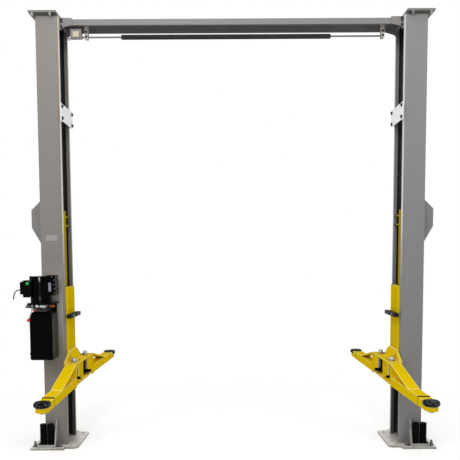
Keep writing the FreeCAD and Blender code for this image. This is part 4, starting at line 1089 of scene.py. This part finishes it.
ADAPTER_X = (1.638, 1.573)
ADAPTER_Y = -0.200
ADAPTER_TOP = [
    (0.0270, 0.2035),
    (0.0275, 0.2045),
    (0.0275, 0.2080),
    (0.0271, 0.2120),
    (0.0268, 0.2142),
    (0.0240, 0.2160),
    (0.0180, 0.2168),
    (0.0165, 0.2155),
]
tops = [(ADAPTER_TOP, (s * x, ADAPTER_Y, 0)) for s in SIDES.values() for x in ADAPTER_X]
turned_piece("adapter_tops", tops, "satin_black", "frame", 40, True)


# Weld beads: a Geometry Nodes tree lays ripples along paths

def weld_tree():
    work = Tree("weld_along_path", "Path", ("Ripple Pitch", "Bead Radius"))
    given = work.given
    curve = work.node("GeometryNodeMeshToCurve", {"Mesh": given["Path"]})
    values = {"Curve": curve.outputs[0], "Length": given["Ripple Pitch"]}
    steps = work.node("GeometryNodeResampleCurve", values, mode="LENGTH")
    points = work.node("GeometryNodeCurveToPoints", {"Curve": steps.outputs[0]}, mode="EVALUATED").outputs
    values = {"Subdivisions": 1, "Radius": given["Bead Radius"]}
    ripple = work.node("GeometryNodeMeshIcoSphere", values)
    size = work.node("FunctionNodeRandomValue", {2: 0.85, 3: 1.15, "Seed": 7}, data_type="FLOAT")
    turns = {"Rotation": points["Rotation"], "Scale": size.outputs[1]}
    return work.spread(points["Points"], ripple.outputs["Mesh"], **turns)


WELD = weld_tree()


def weld(name, body, finish_name, paths, radius=0.0035):
    verts = []
    edges = []
    for path in paths:
        start = len(verts)
        verts.extend(path)
        edges.extend((start + i, start + i + 1) for i in range(len(path) - 1))
    source = bpy.data.meshes.new(name + "_path")
    source.from_pydata(verts, edges, [])
    values = {"Ripple Pitch": radius * 1.3, "Bead Radius": radius, "Finish": finish[finish_name]}
    return add_piece(name, baked_tree(name, source, WELD, values), body)


COVER_WELD_Z = (1.733, 2.146)
SMALL_BEAD = 0.0025
for side, s in SIDES.items():
    x = s * POST_OUTER_X
    y = POST_HALF_Y
    z = BASE_TOP_Z + 0.001
    foot = [
        [(s * 1.463, -y, z), (s * 1.522, -y, z)],
        [(s * 1.538, -y, z), (s * 1.628, -y, z)],
        [(x, -0.150, z), (x, 0.150, z)],
        [(s * 1.628, y, z), (s * 1.463, y, z)],
    ]
    weld(side + "_foot_welds", "frame", "galvanised", foot)
    seams = [[(x, f * 0.070, level) for level in COVER_WELD_Z] for f in (-1, 1)]
    weld(side + "_latch_cover_welds", "frame", "beam_grey", seams, SMALL_BEAD)
    yoke = [[(s * 1.436, f * 0.106, 0.752), (s * 1.330, f * 0.106, 0.752)] for f in (-1, 1)]
    weld(side + "_yoke_welds", CARRIAGE_BODY[side], "yellow", yoke, SMALL_BEAD)


# The cable end leaves the side of the switch box and hangs down to its bare end

CABLE_POINTS = [
    (-1.7560, -0.290, 1.3820),
    (-1.7820, -0.290, 1.3820),
    (-1.8050, -0.290, 1.3705),
    (-1.8205, -0.290, 1.3500),
    (-1.8250, -0.290, 1.3245),
    (-1.8270, -0.290, 1.3000),
]
CABLE_DIAMETER = 0.009


def cable_curve(name, points, radius, finish_name):
    curve = bpy.data.curves.new(name, "CURVE")
    curve.dimensions = "3D"
    spline = curve.splines.new("NURBS")
    spline.points.add(len(points) - 1)
    for point, place in zip(spline.points, points):
        point.co = (*place, 1.0)
    spline.order_u = 3
    spline.use_endpoint_u = True
    curve.bevel_depth = radius
    curve.bevel_resolution = 5
    curve.resolution_u = 12
    curve.use_fill_caps = True
    curve.materials.append(finish[finish_name])
    return curve


cable_mesh = cable_curve("cable_end", CABLE_POINTS, CABLE_DIAMETER / 2, "rubber")
cable = add_piece("cable_end", cable_mesh, "frame")
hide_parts("motor_cable")


# Floor, light and camera

WHITE = (1.0, 1.0, 1.0, 1.0)
FLOOR_HALF_SIZE = 6.0
PHOTO_PX = 460.0
PHOTO_FOCAL_PX = 573.0
PHOTO_SHIFT_PX = 60.7
SENSOR_MM = 36.0
CAMERA_PLACE = (-0.01346, -5.05114, 1.68141)
CAMERA_YAW = 0.0018
CAMERA_PITCH = 0.0661
CAMERA_ROLL = -0.0045


def white_studio():
    # White to look at, and half as bright as a light.
    world = bpy.data.worlds.new("studio")
    bpy.context.scene.world = world
    world.use_nodes = True
    studio = Shading(world.node_tree)
    strength = studio.node("ShaderNodeMix", {"data_type": "FLOAT"}, {0: studio.shown_rays(), 2: 0.55, 3: 1.0})
    sky = studio.node("ShaderNodeBackground", values={"Color": WHITE, "Strength": strength})
    studio.node("ShaderNodeOutputWorld", values={"Surface": sky})


def floor_plane():
    # The pale floor keeps the shadow near the lift and fades into the white around it.
    bm = bmesh.new()
    bmesh.ops.create_grid(bm, x_segments=1, y_segments=1, size=FLOOR_HALF_SIZE)
    mesh = bpy.data.meshes.new("floor")
    bm.to_mesh(mesh)
    bm.free()
    floor = bpy.data.objects.new("floor", mesh)
    bpy.context.scene.collection.objects.link(floor)
    pale = Finish("pale_floor")
    body = pale.node("ShaderNodeBsdfDiffuse", values={"Color": (0.55, 0.55, 0.55, 1.0)})
    glow = pale.node("ShaderNodeEmission", values={"Color": WHITE, "Strength": 0.56})
    both = pale.node("ShaderNodeAddShader", values={0: body, 1: glow})
    plain = pale.node("ShaderNodeBsdfDiffuse", values={"Color": (0.85, 0.85, 0.85, 1.0)})
    shown = pale.node("ShaderNodeMixShader", values={0: pale.shown_rays(), 1: plain, 2: both})
    x, y, _ = pale.axes()
    reach = pale.math("POWER", x * x * 0.45 + y * y, 0.5)
    fade = ((reach - 1.2) * 0.8).limited()
    clear = pale.node("ShaderNodeBsdfTransparent")
    edge = pale.node("ShaderNodeMixShader", values={0: fade, 1: shown, 2: clear})
    pale.node("ShaderNodeOutputMaterial", values={"Surface": edge})
    mesh.materials.append(pale.material)


def soft_lamp(name, place, target, size, power):
    data = bpy.data.lights.new(name, "AREA")
    data.shape = "RECTANGLE"
    data.size = size[0]
    data.size_y = size[1]
    data.energy = power
    lamp = bpy.data.objects.new(name, data)
    bpy.context.scene.collection.objects.link(lamp)
    lamp.location = place
    way = Vector(target) - Vector(place)
    lamp.rotation_euler = way.to_track_quat("-Z", "Y").to_euler()


def photo_camera():
    # The camera that was fitted to the edges of the posts, plates and beam in the photograph.
    flat_right = Vector((math.cos(CAMERA_YAW), math.sin(CAMERA_YAW), 0))
    flat_front = Vector((-math.sin(CAMERA_YAW), math.cos(CAMERA_YAW), 0))
    up = Vector(UP)
    forward = flat_front * math.cos(CAMERA_PITCH) - up * math.sin(CAMERA_PITCH)
    raised = up * math.cos(CAMERA_PITCH) + flat_front * math.sin(CAMERA_PITCH)
    right = flat_right * math.cos(CAMERA_ROLL) + raised * math.sin(CAMERA_ROLL)
    top = raised * math.cos(CAMERA_ROLL) - flat_right * math.sin(CAMERA_ROLL)
    data = bpy.data.cameras.new("photo_camera")
    data.sensor_width = SENSOR_MM
    data.lens = PHOTO_FOCAL_PX / PHOTO_PX * SENSOR_MM
    data.shift_y = PHOTO_SHIFT_PX / PHOTO_PX
    data.clip_end = 100.0
    camera = bpy.data.objects.new("photo_camera", data)
    bpy.context.scene.collection.objects.link(camera)
    turn = Matrix((right, top, -forward)).transposed().to_4x4()
    camera.matrix_world = Matrix.Translation(CAMERA_PLACE) @ turn
    bpy.context.scene.camera = camera


white_studio()
floor_plane()
soft_lamp("key", (-1.2, -5.6, 6.4), (0, 0, 2.0), (4.0, 2.5), 150)
soft_lamp("left_side", (-5.6, -4.0, 4.6), (1.4, 0, 2.0), (3.0, 2.5), 75)
soft_lamp("right_side", (5.6, -4.0, 4.6), (-1.4, 0, 2.0), (3.0, 2.5), 75)
soft_lamp("top", (0, -0.6, 6.4), (0, 0, 0), (2.4, 2.4), 60)
photo_camera()

view = bpy.context.scene.view_settings
view.view_transform = "Standard"
